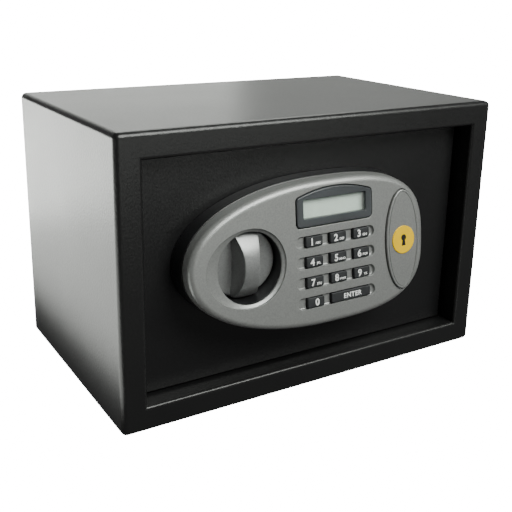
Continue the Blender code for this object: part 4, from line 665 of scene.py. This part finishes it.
def cabinet_shell():
    """Folded in one: four walls, the border round the door with its rolled inner edge, and the jamb."""
    shell = block(CABINET_LOW, CABINET_HIGH)
    front = CABINET_LOW.y
    edit(shell)
    pick(lambda face: face.normal.y > 0.5)
    bpy.ops.mesh.delete(type="ONLY_FACE")
    pick(lambda face: face.normal.y < -0.5)
    bpy.ops.mesh.inset(thickness=BORDER, use_even_offset=True)
    bpy.ops.mesh.extrude_region_move(TRANSFORM_OT_translate={"value": (0, STOP_LOW.y - GAP - front, 0)})
    bpy.ops.mesh.delete(type="ONLY_FACE")
    half = (CABINET_HIGH.x - CABINET_LOW.x) / 2

    def outer_fold(edge):
        at = middle(edge)
        side = half - abs(at.x) < MM
        end = min(at.z - CABINET_LOW.z, CABINET_HIGH.z - at.z) < MM
        return len(edge.link_faces) == 2 and ((side and end) or ((side or end) and at.y < front + MM))

    def inner_fold(edge):
        at = middle(edge)
        end = min(at.z - CABINET_LOW.z, CABINET_HIGH.z - at.z)
        inside = min(half - abs(at.x), end) > BORDER - MM
        return len(edge.link_faces) == 2 and inside and at.y < front + MM

    pick(outer_fold, "EDGE")
    bpy.ops.mesh.bevel(offset=4 * MM, segments=7, affect="EDGES")
    pick(inner_fold, "EDGE")
    bpy.ops.mesh.bevel(offset=2.6 * MM, segments=6, affect="EDGES")
    leave()
    modify(shell, "SOLIDIFY", thickness=SHEET, offset=-1, use_even_offset=True)
    for side in (-1, 1):
        cut(shell, drill(ANCHOR_BORE, 3 * SHEET, (side * ANCHOR_SPACING, 0, -SHEET), Matrix(), 64))
    return smooth(shell)


def cabinet_back():
    low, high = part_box("back_panel")
    back = block(low, high)
    edit(back)
    pick(lambda edge: abs((edge.verts[0].co - edge.verts[1].co).y) > MM, "EDGE")
    bpy.ops.mesh.bevel(offset=2 * MM, segments=4, affect="EDGES")
    leave()
    height = (low.z + high.z) / 2
    for side in (-1, 1):
        place = (side * ANCHOR_SPACING, low.y - SHEET, height)
        cut(back, drill(ANCHOR_BORE, 3 * SHEET, place, sides=64))
    return back


def door_stop():
    """The U-shaped ledge behind the jamb."""
    ledge = 11 * MM
    plate = block(STOP_LOW, STOP_HIGH)
    opening = block(
        (STOP_LOW.x + ledge, STOP_LOW.y - MM, STOP_LOW.z + ledge),
        (STOP_HIGH.x + MM, STOP_HIGH.y + MM, STOP_HIGH.z - ledge),
    )
    return cut(plate, opening)


def hinge_bracket(side):
    """A bent angle from the cabinet's roof or floor, bored for the hinge pin."""
    low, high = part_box(f"hinge_bracket_{side}")
    thick = 2.5 * MM
    up = side == "upper"
    near, far = (low.z, high.z) if up else (high.z, low.z)
    step = 1 if up else -1
    points = [
        (low.y, near),
        (high.y, near),
        (high.y, far),
        (high.y - thick, far),
        (high.y - thick, near + step * thick),
        (low.y, near + step * thick),
    ]
    bracket = tower([[(x, y, z) for y, z in points] for x in (low.x, high.x)])
    pin = centre_of(f"hinge_pin_{side}")
    bore, length = 3.15 * MM, (far - near) * step + 2 * thick
    hole = drill(bore, length, (pin.x, pin.y, min(near, far) - thick), Matrix(), 40)
    return smooth(soften(cut(bracket, hole), 0.35 * MM))


def make_mat():
    """The felt mat: a thin sheet with a soft edge and the slight waves of felt that isn't glued down."""
    width, length = MAT_HIGH.x - MAT_LOW.x, MAT_HIGH.y - MAT_LOW.y
    bpy.ops.object.select_all(action="DESELECT")
    bpy.ops.mesh.primitive_grid_add(x_subdivisions=150, y_subdivisions=74, size=1)
    mat = bpy.context.object
    centre = (MAT_LOW + MAT_HIGH) / 2
    thickness = 2.2 * MM
    inset = 0.2 * MM
    for vert in mat.data.vertices:
        x = centre.x + vert.co.x * (width - 2 * inset)
        y = centre.y + vert.co.y * (length - 2 * inset)
        wave = 0.12 * MM * (math.sin(x * 47 + 1.3) * math.cos(y * 61) + math.sin(x * 21 + y * 33))
        vert.co = (x, y, MAT_LOW.z + thickness + wave)
    modify(mat, "SOLIDIFY", thickness=thickness, offset=-1)
    outwards(mat)
    soften(mat, 0.5 * MM, 2, 60)
    smooth(mat, 40, weigh=False)
    finish_piece(mat, "felt_mat", "cabinet", "felt", "floor_mat")


# ---- Door
def bores(spindle, start):
    """Cutters for the spindle, the lock, the leads and the housing's screws."""
    places = [(spindle, KNOB_X, KNOB_Z), (LOCK_BORE, LOCK_X, LOCK_Z), (LEAD_BORE, LEAD_X, LEAD_Z)]
    for number in (1, 2):
        screw = centre_of(f"housing_screw_{number}")
        places.append((SCREW_BORE, screw.x, screw.z))
    return [drill(radius, 12 * MM, (x, start, z)) for radius, x, z in places]


def make_door():
    plate = block(DOOR_LOW, DOOR_HIGH, 0.9 * MM, 3)
    smooth(cut(plate, *bores(SPINDLE_BORE, DOOR_LOW.y - 4 * MM)))
    finish_piece(plate, "door_panel", "door", "door_paint", "door_plate")
    for side in ("upper", "lower"):
        make_hinge_pin(side)
    make_housing_base()
    make_housing_cover()
    make_well()
    make_display()
    make_cap()
    make_keys()
    make_knob()
    make_door_inside()


def make_hinge_pin(side):
    """The knuckle welded behind the door's edge, and the spigot."""
    node = f"hinge_pin_{side}"
    low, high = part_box(node)
    up = side == "upper"
    length = high.z - low.z
    body = length - 5.5 * MM
    radius, spigot = 4.7 * MM, 3 * MM
    profile = [
        (radius - 0.5 * MM, 0),
        (radius, 0.5 * MM),
        (radius, body - 0.4 * MM),
        (radius - 0.4 * MM, body),
        (spigot, body),
        (spigot, length - 0.8 * MM),
        (spigot - 0.8 * MM, length),
    ]
    turn = Matrix() if up else Matrix.Rotation(math.pi, 4, "X")
    start = ((low.x + high.x) / 2, (low.y + high.y) / 2, low.z if up else high.z)
    pin = smooth(turned(profile, start, turn, 48), 40)
    finish_piece(pin, f"{node}_turned", "door", "zinc_steel", node)


# ---- Keypad housing
def make_housing_base():
    """The black tray: smooth drafted walls, open to the cover, with a shadow groove below the joint."""
    joint = COVER_DEPTH + GAP
    floor = 2 * MM
    grow = HOUSING_DRAFT * joint / FACE_PROJECTION
    back_y = DOOR_LOW.y - GAP

    def on_door(inset, y):
        return [Vector((across, y, FACE_Z + up)) for across, up in egg(HOUSING_DRAFT - inset)]

    def below_face(inset, depth):
        return [FACE @ Vector(point) for point in level_egg(depth, grow - inset)]

    rings = [
        on_door(0.3 * MM, back_y),
        on_door(0, back_y - 0.3 * MM),
        below_face(0, joint + 0.9 * MM),
        below_face(0.45 * MM, joint + 0.6 * MM),
        below_face(0.45 * MM, joint),
        below_face(floor, joint),
        on_door(floor, back_y - floor),
    ]
    base = tower(rings)
    smooth(cut(base, *bores(HUB_BORE, back_y - 6 * MM)))
    finish_piece(base, "housing_tray", "door", "black_plastic", "housing_base")


def knob_on_face():
    return KNOB_X, (KNOB_Z - FACE_Z) / math.cos(FACE_TILT)


def scoop_outline(share, points=160):
    """From the well's opening, at share 0, to the scoop's edge, at share 1."""
    across_0, up_0 = knob_on_face()
    found = []
    for across, up in directions(points):
        edge = SCOOP_RIGHT if across > 0 else SCOOP_LEFT
        found.append(
            (
                across_0 + (WELL_RADIUS + (edge - WELL_RADIUS) * share) * across,
                up_0 + (WELL_RADIUS + (SCOOP_HALF_HEIGHT - WELL_RADIUS) * share) * up,
            )
        )
    return found


def trough_outline(up, grow=0.0):
    half = TROUGH_HALF_HEIGHT + grow
    return rounded(TROUGH_REACH + grow, half, half, (TROUGH_X, up), 12)


def bezel_outline(grow=0.0):
    """Square shoulders with small corners under a shallow arch."""
    half, corner = BEZEL_HALF_WIDTH + grow, 3 * MM + grow
    bottom, shoulder = BEZEL_BOTTOM - grow, BEZEL_SHOULDER + grow
    rise = BEZEL_CROWN - BEZEL_SHOULDER
    reach = half - corner
    radius = (reach**2 + rise**2) / (2 * rise)
    sweep = math.degrees(math.asin(reach / radius))
    points = arc((-half + corner, bottom + corner), corner, 180, 270, 8)
    points += arc((half - corner, bottom + corner), corner, -90, 0, 8)
    points += arc((half - corner, shoulder - corner), corner, 0, 90 - sweep, 8)
    points += arc((0, shoulder + rise - radius), radius, 90 - sweep, 90 + sweep, 28)[1:-1]
    points += arc((-half + corner, shoulder - corner), corner, 90 + sweep, 180, 8)
    return [(across + DISPLAY_X, up) for across, up in points]


def flared(outline, depth, lip=0.3 * MM):
    """A cutter for the face whose mouth is rounded over. outline takes how far it grows."""
    mouth = [(-0.5 * MM, lip), (0, lip), (0.10 * lip, 0.55 * lip), (0.45 * lip, 0.12 * lip), (lip, 0)]
    return tower([sunk(outline(grow), at) for at, grow in mouth] + [sunk(outline(0), depth)])


def key_places():
    """(name, across, up, half width) of every key in face coordinates."""
    found = []
    for number in range(1, 10):
        row, column = divmod(number - 1, 3)
        across = KEY_X + (column - 1) * KEY_PITCH_X
        found.append((f"key_{number}", across, KEY_TOP_Z - row * KEY_PITCH_Z, KEY_HALF_WIDTH))
    last = KEY_TOP_Z - 3 * KEY_PITCH_Z
    found.append(("key_0", KEY_X - KEY_PITCH_X, last, KEY_HALF_WIDTH))
    found.append(("key_start", KEY_X + KEY_PITCH_X / 2, last, KEY_HALF_WIDTH + KEY_PITCH_X / 2))
    return found


def make_housing_cover():
    """The grey shell: its rolled rim, and its openings for the knob, display, keys and cap."""
    rim = [(COVER_DEPTH, HOUSING_DRAFT * COVER_DEPTH / FACE_PROJECTION), (COVER_ROUND, 0)]
    rim += [(depth, -inset) for depth, inset in fillet(COVER_ROUND, 10)[1:]]
    rim.append((0, -COVER_ROUND - 0.5 * MM))
    cover = tower([level_egg(depth, grow) for depth, grow in rim])
    wall = 2.2 * MM
    inside = [(COVER_DEPTH + MM, -wall), (COVER_WALL + 2 * MM, -wall), (COVER_WALL, -wall - 2 * MM)]
    cutters = [tower([level_egg(depth, grow) for depth, grow in inside])]
    cutters.append(prism(scoop_outline(0), -MM, COVER_DEPTH))
    scoop = [(-0.5, 1.03), (0, 1.03), (0.06, 1.0), (0.35, 0.975), (0.8, 0.95), (1.0, 0.90)]
    rings = [sunk(scoop_outline(share), depth * MM) for depth, share in scoop]
    rings.append(sunk(scoop_outline(0.08), SCOOP_DEPTH - 0.35 * MM))
    rings.append(sunk(scoop_outline(-0.01), SCOOP_DEPTH + 0.1 * MM))
    cutters.append(tower(rings))
    cutters.append(flared(lambda grow: bezel_outline(0.7 * MM + grow), COVER_DEPTH))
    for row in range(4):
        cutters.append(trough_cutter(KEY_TOP_Z - row * KEY_PITCH_Z))
    for _, across, up, half in key_places():
        outline = rounded(half + 0.3 * MM, KEY_HALF_HEIGHT + 0.3 * MM, 0.9 * MM, (across, up))
        cutters.append(prism(outline, -MM, COVER_DEPTH))

    def cap_seat(grow):
        grow += 0.75 * MM
        return ellipse(CAP_HALF_WIDTH + grow, CAP_HALF_HEIGHT + grow, (LOCK_X, CAP_Z))

    cutters.append(flared(cap_seat, 1.2 * MM, 0.25 * MM))
    lock_hole = ellipse(8.9 * MM, 8.9 * MM, (LOCK_X, CAP_Z), 48)
    cutters.append(prism(lock_hole, -MM, COVER_DEPTH))
    cut(cover, *cutters)
    on_face(cover)
    finish_piece(cover, "housing_shell", "door", "housing_grey", "housing_cover")


def trough_cutter(up):
    """A level slot with a rolled mouth and a coved floor."""
    profile = [(-0.5, 0.25), (0, 0.25), (0.05, 0.12), (0.2, 0), (0.9, -0.05), (1.5, -0.35), (1.9, -0.95)]
    return tower([sunk(trough_outline(up, grow * MM), depth * MM) for depth, grow in profile])


def make_well():
    """The black cup round the dial, with a step at its floor."""
    radius = WELL_RADIUS + WELL_WALL
    cup_floor = DIAL_Y + 9 * MM
    back = cup_floor + WELL_WALL - FACE_Y
    profile = [(radius, back), (radius, -2 * MM), (WELL_RADIUS, -2 * MM), (WELL_RADIUS, back - 3 * MM)]
    profile += [(WELL_RADIUS - MM, back - 3 * MM), (WELL_RADIUS - MM, back - WELL_WALL)]
    cup = turned(profile, (KNOB_X, FACE_Y, KNOB_Z), sides=128)
    hub = drill(HUB_BORE, 6 * MM, (KNOB_X, cup_floor - 2 * MM, KNOB_Z))
    trim = block((-0.2, -0.05, -0.1), (0.2, COVER_WALL + GAP, 0.1))
    settle(trim, FACE)
    smooth(cut(cup, hub, trim))
    finish_piece(cup, "knob_cup", "door", "black_plastic", "knob_well")


# ---- Display
def make_display():
    """The frame with its rolled edge and bevelled opening, the clear window and the panel."""
    proud, back = 0.8 * MM, 3.2 * MM
    rings = [sunk(bezel_outline(0), back)]
    for depth, inset in fillet(0.9 * MM, 5):
        rings.append(sunk(bezel_outline(-inset), depth - proud))
    rings.append(sunk(bezel_outline(-1.6 * MM), -proud))
    rings.append(sunk(bezel_outline(-1.9 * MM), -proud + 0.15 * MM))
    frame_solid = tower(rings)

    def window(grow):
        centre = (DISPLAY_X, WINDOW_Z)
        return rounded(WINDOW_HALF_WIDTH + grow, WINDOW_HALF_HEIGHT + grow, 0.5 * MM, centre, 4)

    bevel = 0.5 * MM
    lip = -proud + 0.15 * MM
    mouth = [(-2 * MM, bevel), (lip, bevel), (lip + bevel, 0), (back + MM, 0)]
    opening = tower([sunk(window(grow), depth) for depth, grow in mouth])
    on_face(cut(frame_solid, opening))
    finish_piece(frame_solid, "display_frame", "door", "bezel_plastic", "display_bezel")
    pane = prism(window(-0.3 * MM), 1.5 * MM, 0.9 * MM)
    on_face(soften(pane, 0.1 * MM, 1), 32)
    finish_piece(pane, "display_pane", "door", "clear_plastic", "display_window")
    panel = prism(window(2.2 * MM), 5.8 * MM, 3.6 * MM)
    join(panel, prism(window(1.7 * MM), 3.65 * MM, 3.5 * MM))
    on_face(panel, 32)
    finish_piece(panel, "display_crystal", "door", "display_glass", "display_panel")


# ---- Override cap
def make_cap():
    """The oval cap: a rolled edge and a fine line just inside it, with a round resin badge."""
    centre = (LOCK_X, CAP_Z)

    def oval(inset):
        return ellipse(CAP_HALF_WIDTH - inset, CAP_HALF_HEIGHT - inset, centre, 144)

    rings = [sunk(oval(0), 0.7 * MM)]
    rings += [sunk(oval(inset), depth - CAP_PROUD) for depth, inset in fillet(0.8 * MM, 6)]
    profile = [(1.4, 0), (1.6, 0.4), (2.0, 0.4), (2.2, 0)]
    rings += [sunk(oval(inset * MM), depth * MM - CAP_PROUD) for inset, depth in profile]
    rings.append(sunk(oval(3 * MM), -CAP_PROUD))
    cap = on_face(tower(rings))
    finish_piece(cap, "lock_cap", "override_cap", "housing_grey", "override_cap")
    face = -CAP_PROUD - 0.05 * MM
    disc = [(0, 0), (0, 0.35), (0.12, 0.5), (0.4, 0.58), (1.2, 0.62)]
    rings = []
    for inset, rise in disc:
        radius = BADGE_RADIUS - inset * MM
        rings.append(sunk(ellipse(radius, radius, centre), face - rise * MM))
    badge = on_face(tower(rings), 50)
    finish_piece(badge, "cap_disc", "override_cap", "yellow_label", "cap_badge")
    top = face - 0.62 * MM
    hole = ellipse(2.3 * MM, 2.3 * MM, (LOCK_X, CAP_Z + 1.6 * MM), 40)
    mark = prism(hole, top + 0.05 * MM, top - 0.04 * MM)
    skirt = [(-0.9, 0.6), (0.9, 0.6), (1.9, -4.4), (-1.9, -4.4)]
    outline = [(LOCK_X + across * MM, CAP_Z + up * MM) for across, up in skirt]
    join(mark, prism(outline, top + 0.05 * MM, top - 0.04 * MM))
    settle(mark, FACE)
    finish_piece(mark, "cap_keyhole_mark", "override_cap", "black_print", slot="yellow_label")


# ---- Keys
ALPHABET = "ABCDEFGHIJKLMNOPQRSTUVWXYZ"


def make_keys():
    for name, across, up, half in key_places():
        key = key_cap(across, up, half)
        finish_piece(key, f"{name}_cap", name, "key_rubber", name)
        if name == "key_start":
            prints = [lettering("ENTER", 4.9 * MM, across + MM, up, 1.12)]
        else:
            digit = name[-1]
            letters = ALPHABET[3 * int(digit) - 3 : 3 * int(digit)]
            shift = -2.2 * MM if letters else 0.8 * MM
            prints = [lettering(digit, 6.8 * MM, across + shift, up)]
            if letters:
                prints.append(lettering(letters, 2.3 * MM, across + 2.9 * MM, up - 1.3 * MM))
        for i, printed in enumerate(prints):
            settle(printed, FACE)
            finish_piece(printed, f"{name}_print_{i + 1}", name, "white_print", slot="key_rubber")


def key_crown(across, up, centre, half):
    """How far the key's crowned top stands below its highest point."""
    flat = max(0.0, 1 - ((across - centre[0]) / half) ** 2)
    return KEY_CROWN * (1 - flat * (1 - ((up - centre[1]) / KEY_HALF_HEIGHT) ** 2))


def key_cap(across, up, half):
    """A silicone key: a flange behind the cover, straight flanks, a rolled edge and a crowned top."""

    def outline(inset, corner=1.1 * MM):
        turn = max(corner - inset, 0.3 * MM)
        return rounded(half - inset, KEY_HALF_HEIGHT - inset, turn, (across, up), 5)

    back, flange = 4.6 * MM, 0.8 * MM
    rings = [sunk(outline(0), back), sunk(outline(0), 4.4 * MM), sunk(outline(-flange), 4.3 * MM)]
    rings += [sunk(outline(-flange), 3.3 * MM), sunk(outline(0), 3.3 * MM)]
    shoulder = KEY_PROUD - KEY_CROWN
    rings += [sunk(outline(inset), depth - shoulder) for depth, inset in fillet(0.6 * MM, 5)]
    for inset in (0.9, 1.3, 1.8, 2.4, 2.9):
        ring = outline(inset * MM)
        rings.append([(x, -KEY_PROUD + key_crown(x, z, (across, up), half), z) for x, z in ring])
    return on_face(tower(rings), 45, weigh=False)


def lettering(words, size, across, up, spacing=1.0):
    """Raised white print in the face's own axes."""
    bpy.ops.object.select_all(action="DESELECT")
    bpy.ops.object.text_add()
    text = bpy.context.object
    text.data.body = words
    text.data.size = size
    text.data.space_character = spacing
    text.data.align_x = "CENTER"
    text.data.align_y = "CENTER"
    text.data.offset = 0.03 * size
    text.data.extrude = 0.06 * MM
    text.data.resolution_u = 6
    bpy.ops.object.convert(target="MESH")
    text = bpy.context.object
    middle_z = (min(v.co.y for v in text.data.vertices) + max(v.co.y for v in text.data.vertices)) / 2
    top = -KEY_PROUD - 0.015 * MM
    for vert in text.data.vertices:
        vert.co = (across + vert.co.x, top - vert.co.z + 0.06 * MM, up + vert.co.y - middle_z)
    return outwards(text)


# ---- Knob
def knob_height(x, z):
    """How far the dial's front stands out at a point, from its lowest plane."""
    radius = math.hypot(x, z)
    share = min(1.0, abs(z) / DIAL_RADIUS)
    waist = 5.4 * MM + 4.2 * MM * share**2.2
    dome = 15.2 * MM - 11.8 * MM * share**2.3
    edge = abs(x) - waist
    steep = dome - max(0.0, edge) * 5.0
    crown = dome - 0.5 * MM * (x / waist) ** 2
    fin = soft_low(crown, steep, 0.7 * MM)
    dish = 0.3 * MM + 3.0 * MM * max(0.0, (abs(x) - waist) / (DIAL_RADIUS - waist)) ** 0.8
    dial = soft_high(fin, dish, 1.8 * MM)
    rim = max(0.0, radius - (DIAL_RADIUS - 1.0 * MM))
    return dial - rim**2 / (2.0 * MM)


def soft_low(a, b, blend):
    """The lower of two heights, with the crease between them rounded."""
    share = max(0.0, blend - abs(a - b)) / blend
    return min(a, b) - share * share * blend / 4


def soft_high(a, b, blend):
    return -soft_low(-a, -b, blend)


def make_knob():
    """The dial and its grip, raised from a disc, with a skirt and a bored hub behind."""
    steps = 170
    bpy.ops.object.select_all(action="DESELECT")
    bpy.ops.mesh.primitive_grid_add(x_subdivisions=steps, y_subdivisions=steps, size=2)
    knob = bpy.context.object
    lowest = 1.5 * MM
    for vert in knob.data.vertices:
        u, v = vert.co.x, vert.co.y
        x = DIAL_RADIUS * u * math.sqrt(1 - v * v / 2)
        z = DIAL_RADIUS * v * math.sqrt(1 - u * u / 2)
        vert.co = (KNOB_X + x, DIAL_Y + lowest - knob_height(x, z), KNOB_Z + z)
    skirt = KNOB_HIGH.y - 4 * MM
    edit(knob, "EDGE")
    bpy.ops.mesh.select_non_manifold()
    bpy.ops.mesh.extrude_region_move()
    mesh = bmesh.from_edit_mesh(knob.data)
    for vert in mesh.verts:
        if vert.select:
            vert.co.y = skirt
    bmesh.update_edit_mesh(knob.data)
    bpy.ops.mesh.edge_face_add()
    leave()
    outwards(knob)
    hub = turned([(8 * MM, -2 * MM), (8 * MM, 3.6 * MM), (7.6 * MM, 4 * MM)], (KNOB_X, skirt, KNOB_Z))
    bore = turned([(4.2 * MM, -4 * MM), (4.2 * MM, 6 * MM)], (KNOB_X, skirt, KNOB_Z), sides=48)
    smooth(cut(join(knob, hub), bore), 50, weigh=False)
    finish_piece(knob, "grip_knob", "knob", "knob_grey", "knob", slot="housing_grey")


# ---- Inside of the door
def make_door_inside():
    make_lock_case()
    make_battery_lid()
    make_cells()
    make_reset()
    for number in range(1, 5):
        make_screw(f"cover_screw_{number}")
    for side in ("upper", "lower"):
        make_bolt(side)


def make_lock_case():
    """The folded cover over the bolt work, with rounded bends, flanges, and openings."""
    sheet = 1.5 * MM
    flange = 7 * MM
    low, high = Vector(CASE_LOW), Vector(CASE_HIGH)
    low.z, high.z = low.z + flange, high.z - flange
    case = block(low, high)
    edit(case)
    pick(lambda face: face.normal.y < -0.5)
    bpy.ops.mesh.delete(type="ONLY_FACE")
    pick(lambda edge: len(edge.link_faces) == 2, "EDGE")
    bpy.ops.mesh.bevel(offset=2.6 * MM, segments=5, affect="EDGES")
    for sign, end in ((1, high.z), (-1, low.z)):

        def open_edge(edge):
            return all(abs(v.co.z - end) < GAP and v.co.y < low.y + GAP for v in edge.verts)

        pick(open_edge, "EDGE")
        bpy.ops.mesh.extrude_region_move(TRANSFORM_OT_translate={"value": (0, 0, sign * flange)})
    leave()
    modify(case, "SOLIDIFY", thickness=sheet, offset=-1, use_even_offset=True)
    cutters = []
    bolt_bore, reset_bore, reach = 8.5 * MM, 3.8 * MM, 4 * MM
    for side in ("upper", "lower"):
        bolt = centre_of(f"bolt_{side}")
        cutters.append(drill(bolt_bore, 10 * MM, (low.x - 5 * MM, bolt.y, bolt.z), TOWARDS_X, 56))
    lid_low, lid_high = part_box("battery_lid")
    lap = 4.2 * MM
    near = (lid_low.x + lap, high.y - reach, lid_low.z + lap)
    far = (lid_high.x - lap, high.y + reach, lid_high.z - lap)
    cutters.append(block(near, far))
    reset = centre_of("reset_button")
    cutters.append(drill(reset_bore, 2 * reach, (reset.x, high.y - reach, reset.z), sides=40))
    cut(case, *cutters)
    smooth(case)
    finish_piece(case, "lock_case", "door", "inner_paint", "lock_cover", slot="door_paint")


def make_battery_lid():
    """The clip-on lid: rounded edges and five finger ridges."""
    low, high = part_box("battery_lid")
    plate_back = low.y + 1.8 * MM
    lid = block(low, (high.x, plate_back, high.z), 0.7 * MM, 3)
    centre = (low.x + high.x) / 2
    reach, pitch = 11 * MM, 2.2 * MM
    for i in range(5):
        ridge_z = high.z - 8 * MM - i * pitch
        near = (centre - reach, plate_back - 0.5 * MM, ridge_z)
        far = (centre + reach, plate_back + 0.9 * MM, ridge_z + MM)
        join(lid, block(near, far, 0.4 * MM))
    smooth(lid)
    finish_piece(lid, "battery_hatch", "battery_lid", "black_plastic", "battery_lid")


def make_cells():
    """Four cells, head to tail, each with its sleeve, its steel end and its button."""
    low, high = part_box("batteries")
    count = 4
    pitch = (high.x - low.x) / count
    centre_y = (low.y + high.y) / 2
    radius = 7.05 * MM
    length = high.z - low.z - 2 * MM
    for i in range(count):
        x = low.x + pitch * (i + 0.5)
        down = i % 2
        turn = Matrix.Rotation(math.pi, 4, "X") if down else Matrix()
        start = (x, centre_y, high.z - MM if down else low.z + MM)
        profile = [(radius - 0.6 * MM, 0), (radius, 0.5 * MM), (radius, length - 0.6 * MM)]
        profile += [(radius - 0.5 * MM, length), (5 * MM, length), (4.6 * MM, length - 0.4 * MM)]
        button = 2.7 * MM
        profile += [(button, length - 0.4 * MM), (button, length + 0.7 * MM)]
        profile.append((2.3 * MM, length + 0.95 * MM))
        cell = smooth(turned(profile, start, turn, 48), 40)
        nodes = ("batteries",) if i == 0 else ()
        finish_piece(cell, f"cell_{i + 1}", "door", "cell_wrap", *nodes)


def make_reset():
    low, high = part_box("reset_button")
    profile = [(5 * MM, 0), (5 * MM, 1.5 * MM), (3.5 * MM, 1.5 * MM)]
    tip = high.y - low.y
    profile += [(3.5 * MM, tip - 0.8 * MM), (3.1 * MM, tip - 0.25 * MM)]
    profile += [(2.4 * MM, tip), (1.8 * MM, tip - 0.3 * MM)]
    middle_x, _, middle_z = centre_of("reset_button")
    button = smooth(turned(profile, (middle_x, low.y, middle_z), sides=48), 40)
    finish_piece(button, "reset_push_button", "reset_button", "red_plastic", "reset_button")


def make_screw(node):
    """A pan head with a cross recess on its shank."""
    low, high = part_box(node)
    x, _, z = centre_of(node)
    head, rise, shank = 3.5 * MM, 2.2 * MM, 1.8 * MM
    length = high.y - low.y
    profile = [(shank, 0), (shank, length - rise), (head, length - rise), (head, length - 1.2 * MM)]
    profile += [(3.1 * MM, length - 0.45 * MM), (2.2 * MM, length - 0.08 * MM), (1.4 * MM, length)]
    screw = turned(profile, (x, low.y, z), sides=40)
    for across, up in ((1.7, 0.32), (0.32, 1.7)):
        near = (x - across * MM, high.y - 1.1 * MM, z - up * MM)
        far = (x + across * MM, high.y + MM, z + up * MM)
        cut(screw, block(near, far))
    smooth(screw, 35)
    finish_piece(screw, f"{node}_pan_head", "door", "zinc_steel", node)


def make_bolt(side):
    """A turned bolt with a chamfered nose, a fine tool line and its riveted spigot."""
    node = f"bolt_{side}"
    low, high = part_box(node)
    centre = centre_of(node)
    radius, spigot = 8 * MM, 3 * MM
    length = high.x - low.x
    shoulder = length - 5 * MM
    profile = [(4 * MM, 0), (radius - 1.3 * MM, 0), (radius - 0.5 * MM, 0.5 * MM), (radius, 1.4 * MM)]
    line = radius - 0.15 * MM
    profile += [(radius, 8 * MM), (line, 8.1 * MM), (line, 8.4 * MM), (radius, 8.5 * MM)]
    profile += [(radius, shoulder), (spigot, shoulder), (spigot, length)]
    bolt = smooth(turned(profile, (low.x, centre.y, centre.z), TOWARDS_X, 72), 30)
    finish_piece(bolt, f"{node}_turned", "bolt_work", "bolt_steel", node)


# ---- The frame's own nodes that stay
def dress_frame_nodes():
    slots = {entry["node"]: entry["material_slot"] for entry in frame["record"]["subparts"]}
    for name, obj in frame["nodes"].items():
        if obj.hide_render:
            continue
        obj.data.materials.clear()
        obj.data.materials.append(finishes[slots[name]].material)


# ---- Studio
def make_studio():
    bpy.ops.object.select_all(action="DESELECT")
    bpy.ops.mesh.primitive_plane_add(size=30, location=(0, 9, -0.0006))
    floor = bpy.context.object
    floor.name = "studio_floor"
    paper = Finish("studio_paper", (0.90, 0.90, 0.90), 0.9)
    paper.set(Emission_Color=(1, 1, 1, 1), Emission_Strength=PAPER_GLOW)
    floor.data.materials.append(paper.material)
    floor.visible_glossy = False
    floor.visible_diffuse = False
    world = bpy.data.worlds.new("studio_light")
    bpy.context.scene.world = world
    world.use_nodes = True
    world.node_tree.nodes["Background"].inputs["Color"].default_value = (1, 1, 1, 1)
    world.node_tree.nodes["Background"].inputs["Strength"].default_value = 0.12
    soft_box("side_card_far", (-0.85, 1.25, 0.001), (-0.85, 1.25, 1), (1.3, 1.7), 54)
    soft_box("side_card_near", (-0.42, 0.13, 0.001), (-0.42, 0.13, 1), (0.46, 0.52), 2.6)
    soft_box("roof_card", (0.45, 2.00, 0.46), (0.1, 0, 0.2), (1.3, 0.6), 6.4)
    soft_box("roof_card_right", (1.62, 1.62, 0.42), (0.1, 0, 0.2), (1.3, 0.6), 1.7)
    soft_box("edge_card", (0.9, 2.0, 1.9), (0, 0, 0.2), (2.2, 0.9), 34)
    soft_box("floor_card", (0.20, -1.45, 0.001), (0.20, -1.45, 1), (1.4, 1.1), 13)
    soft_box("front_light", (0.50, -1.20, 1.30), (0, -0.1, 0.1), (1.2, 0.9), 44)
    make_camera()


def soft_box(name, place, target, size, power):
    light = bpy.data.lights.new(name, "AREA")
    light.shape = "RECTANGLE"
    light.size, light.size_y = size
    light.energy = power
    lamp = bpy.data.objects.new(name, light)
    bpy.context.scene.collection.objects.link(lamp)
    lamp.location = place
    lamp.rotation_euler = (Vector(target) - Vector(place)).to_track_quat("-Z", "Y").to_euler()
    light.color = (0.97, 1.0, 0.95)
    lamp.visible_camera = False


def make_camera():
    """Left of the front and a little above it, with its lens shifted down and to the right."""
    camera = bpy.data.cameras.new("camera")
    camera.sensor_width = 36
    camera.lens = 55.34
    camera.shift_x = 0.0203
    camera.shift_y = -0.0889
    camera.clip_start = 0.01
    eye = bpy.data.objects.new("camera", camera)
    bpy.context.scene.collection.objects.link(eye)
    turn = math.radians(-31.25)
    rise = math.radians(16.15)
    roll = math.radians(0.95)
    back = Vector((math.sin(turn) * math.cos(rise), -math.cos(turn) * math.cos(rise), math.sin(rise)))
    right = Vector((math.cos(turn), math.sin(turn), 0))
    up = back.cross(right)
    level_right = math.cos(roll) * right + math.sin(roll) * up
    level_up = -math.sin(roll) * right + math.cos(roll) * up
    axes = Matrix((level_right, level_up, back)).transposed().to_4x4()
    eye.matrix_world = Matrix.Translation((-0.3213, CABINET_LOW.y - 0.4217, 0.2846)) @ axes
    bpy.context.scene.camera = eye


finishes = make_finishes()
make_studio()
make_cabinet()
make_door()
dress_frame_nodes()
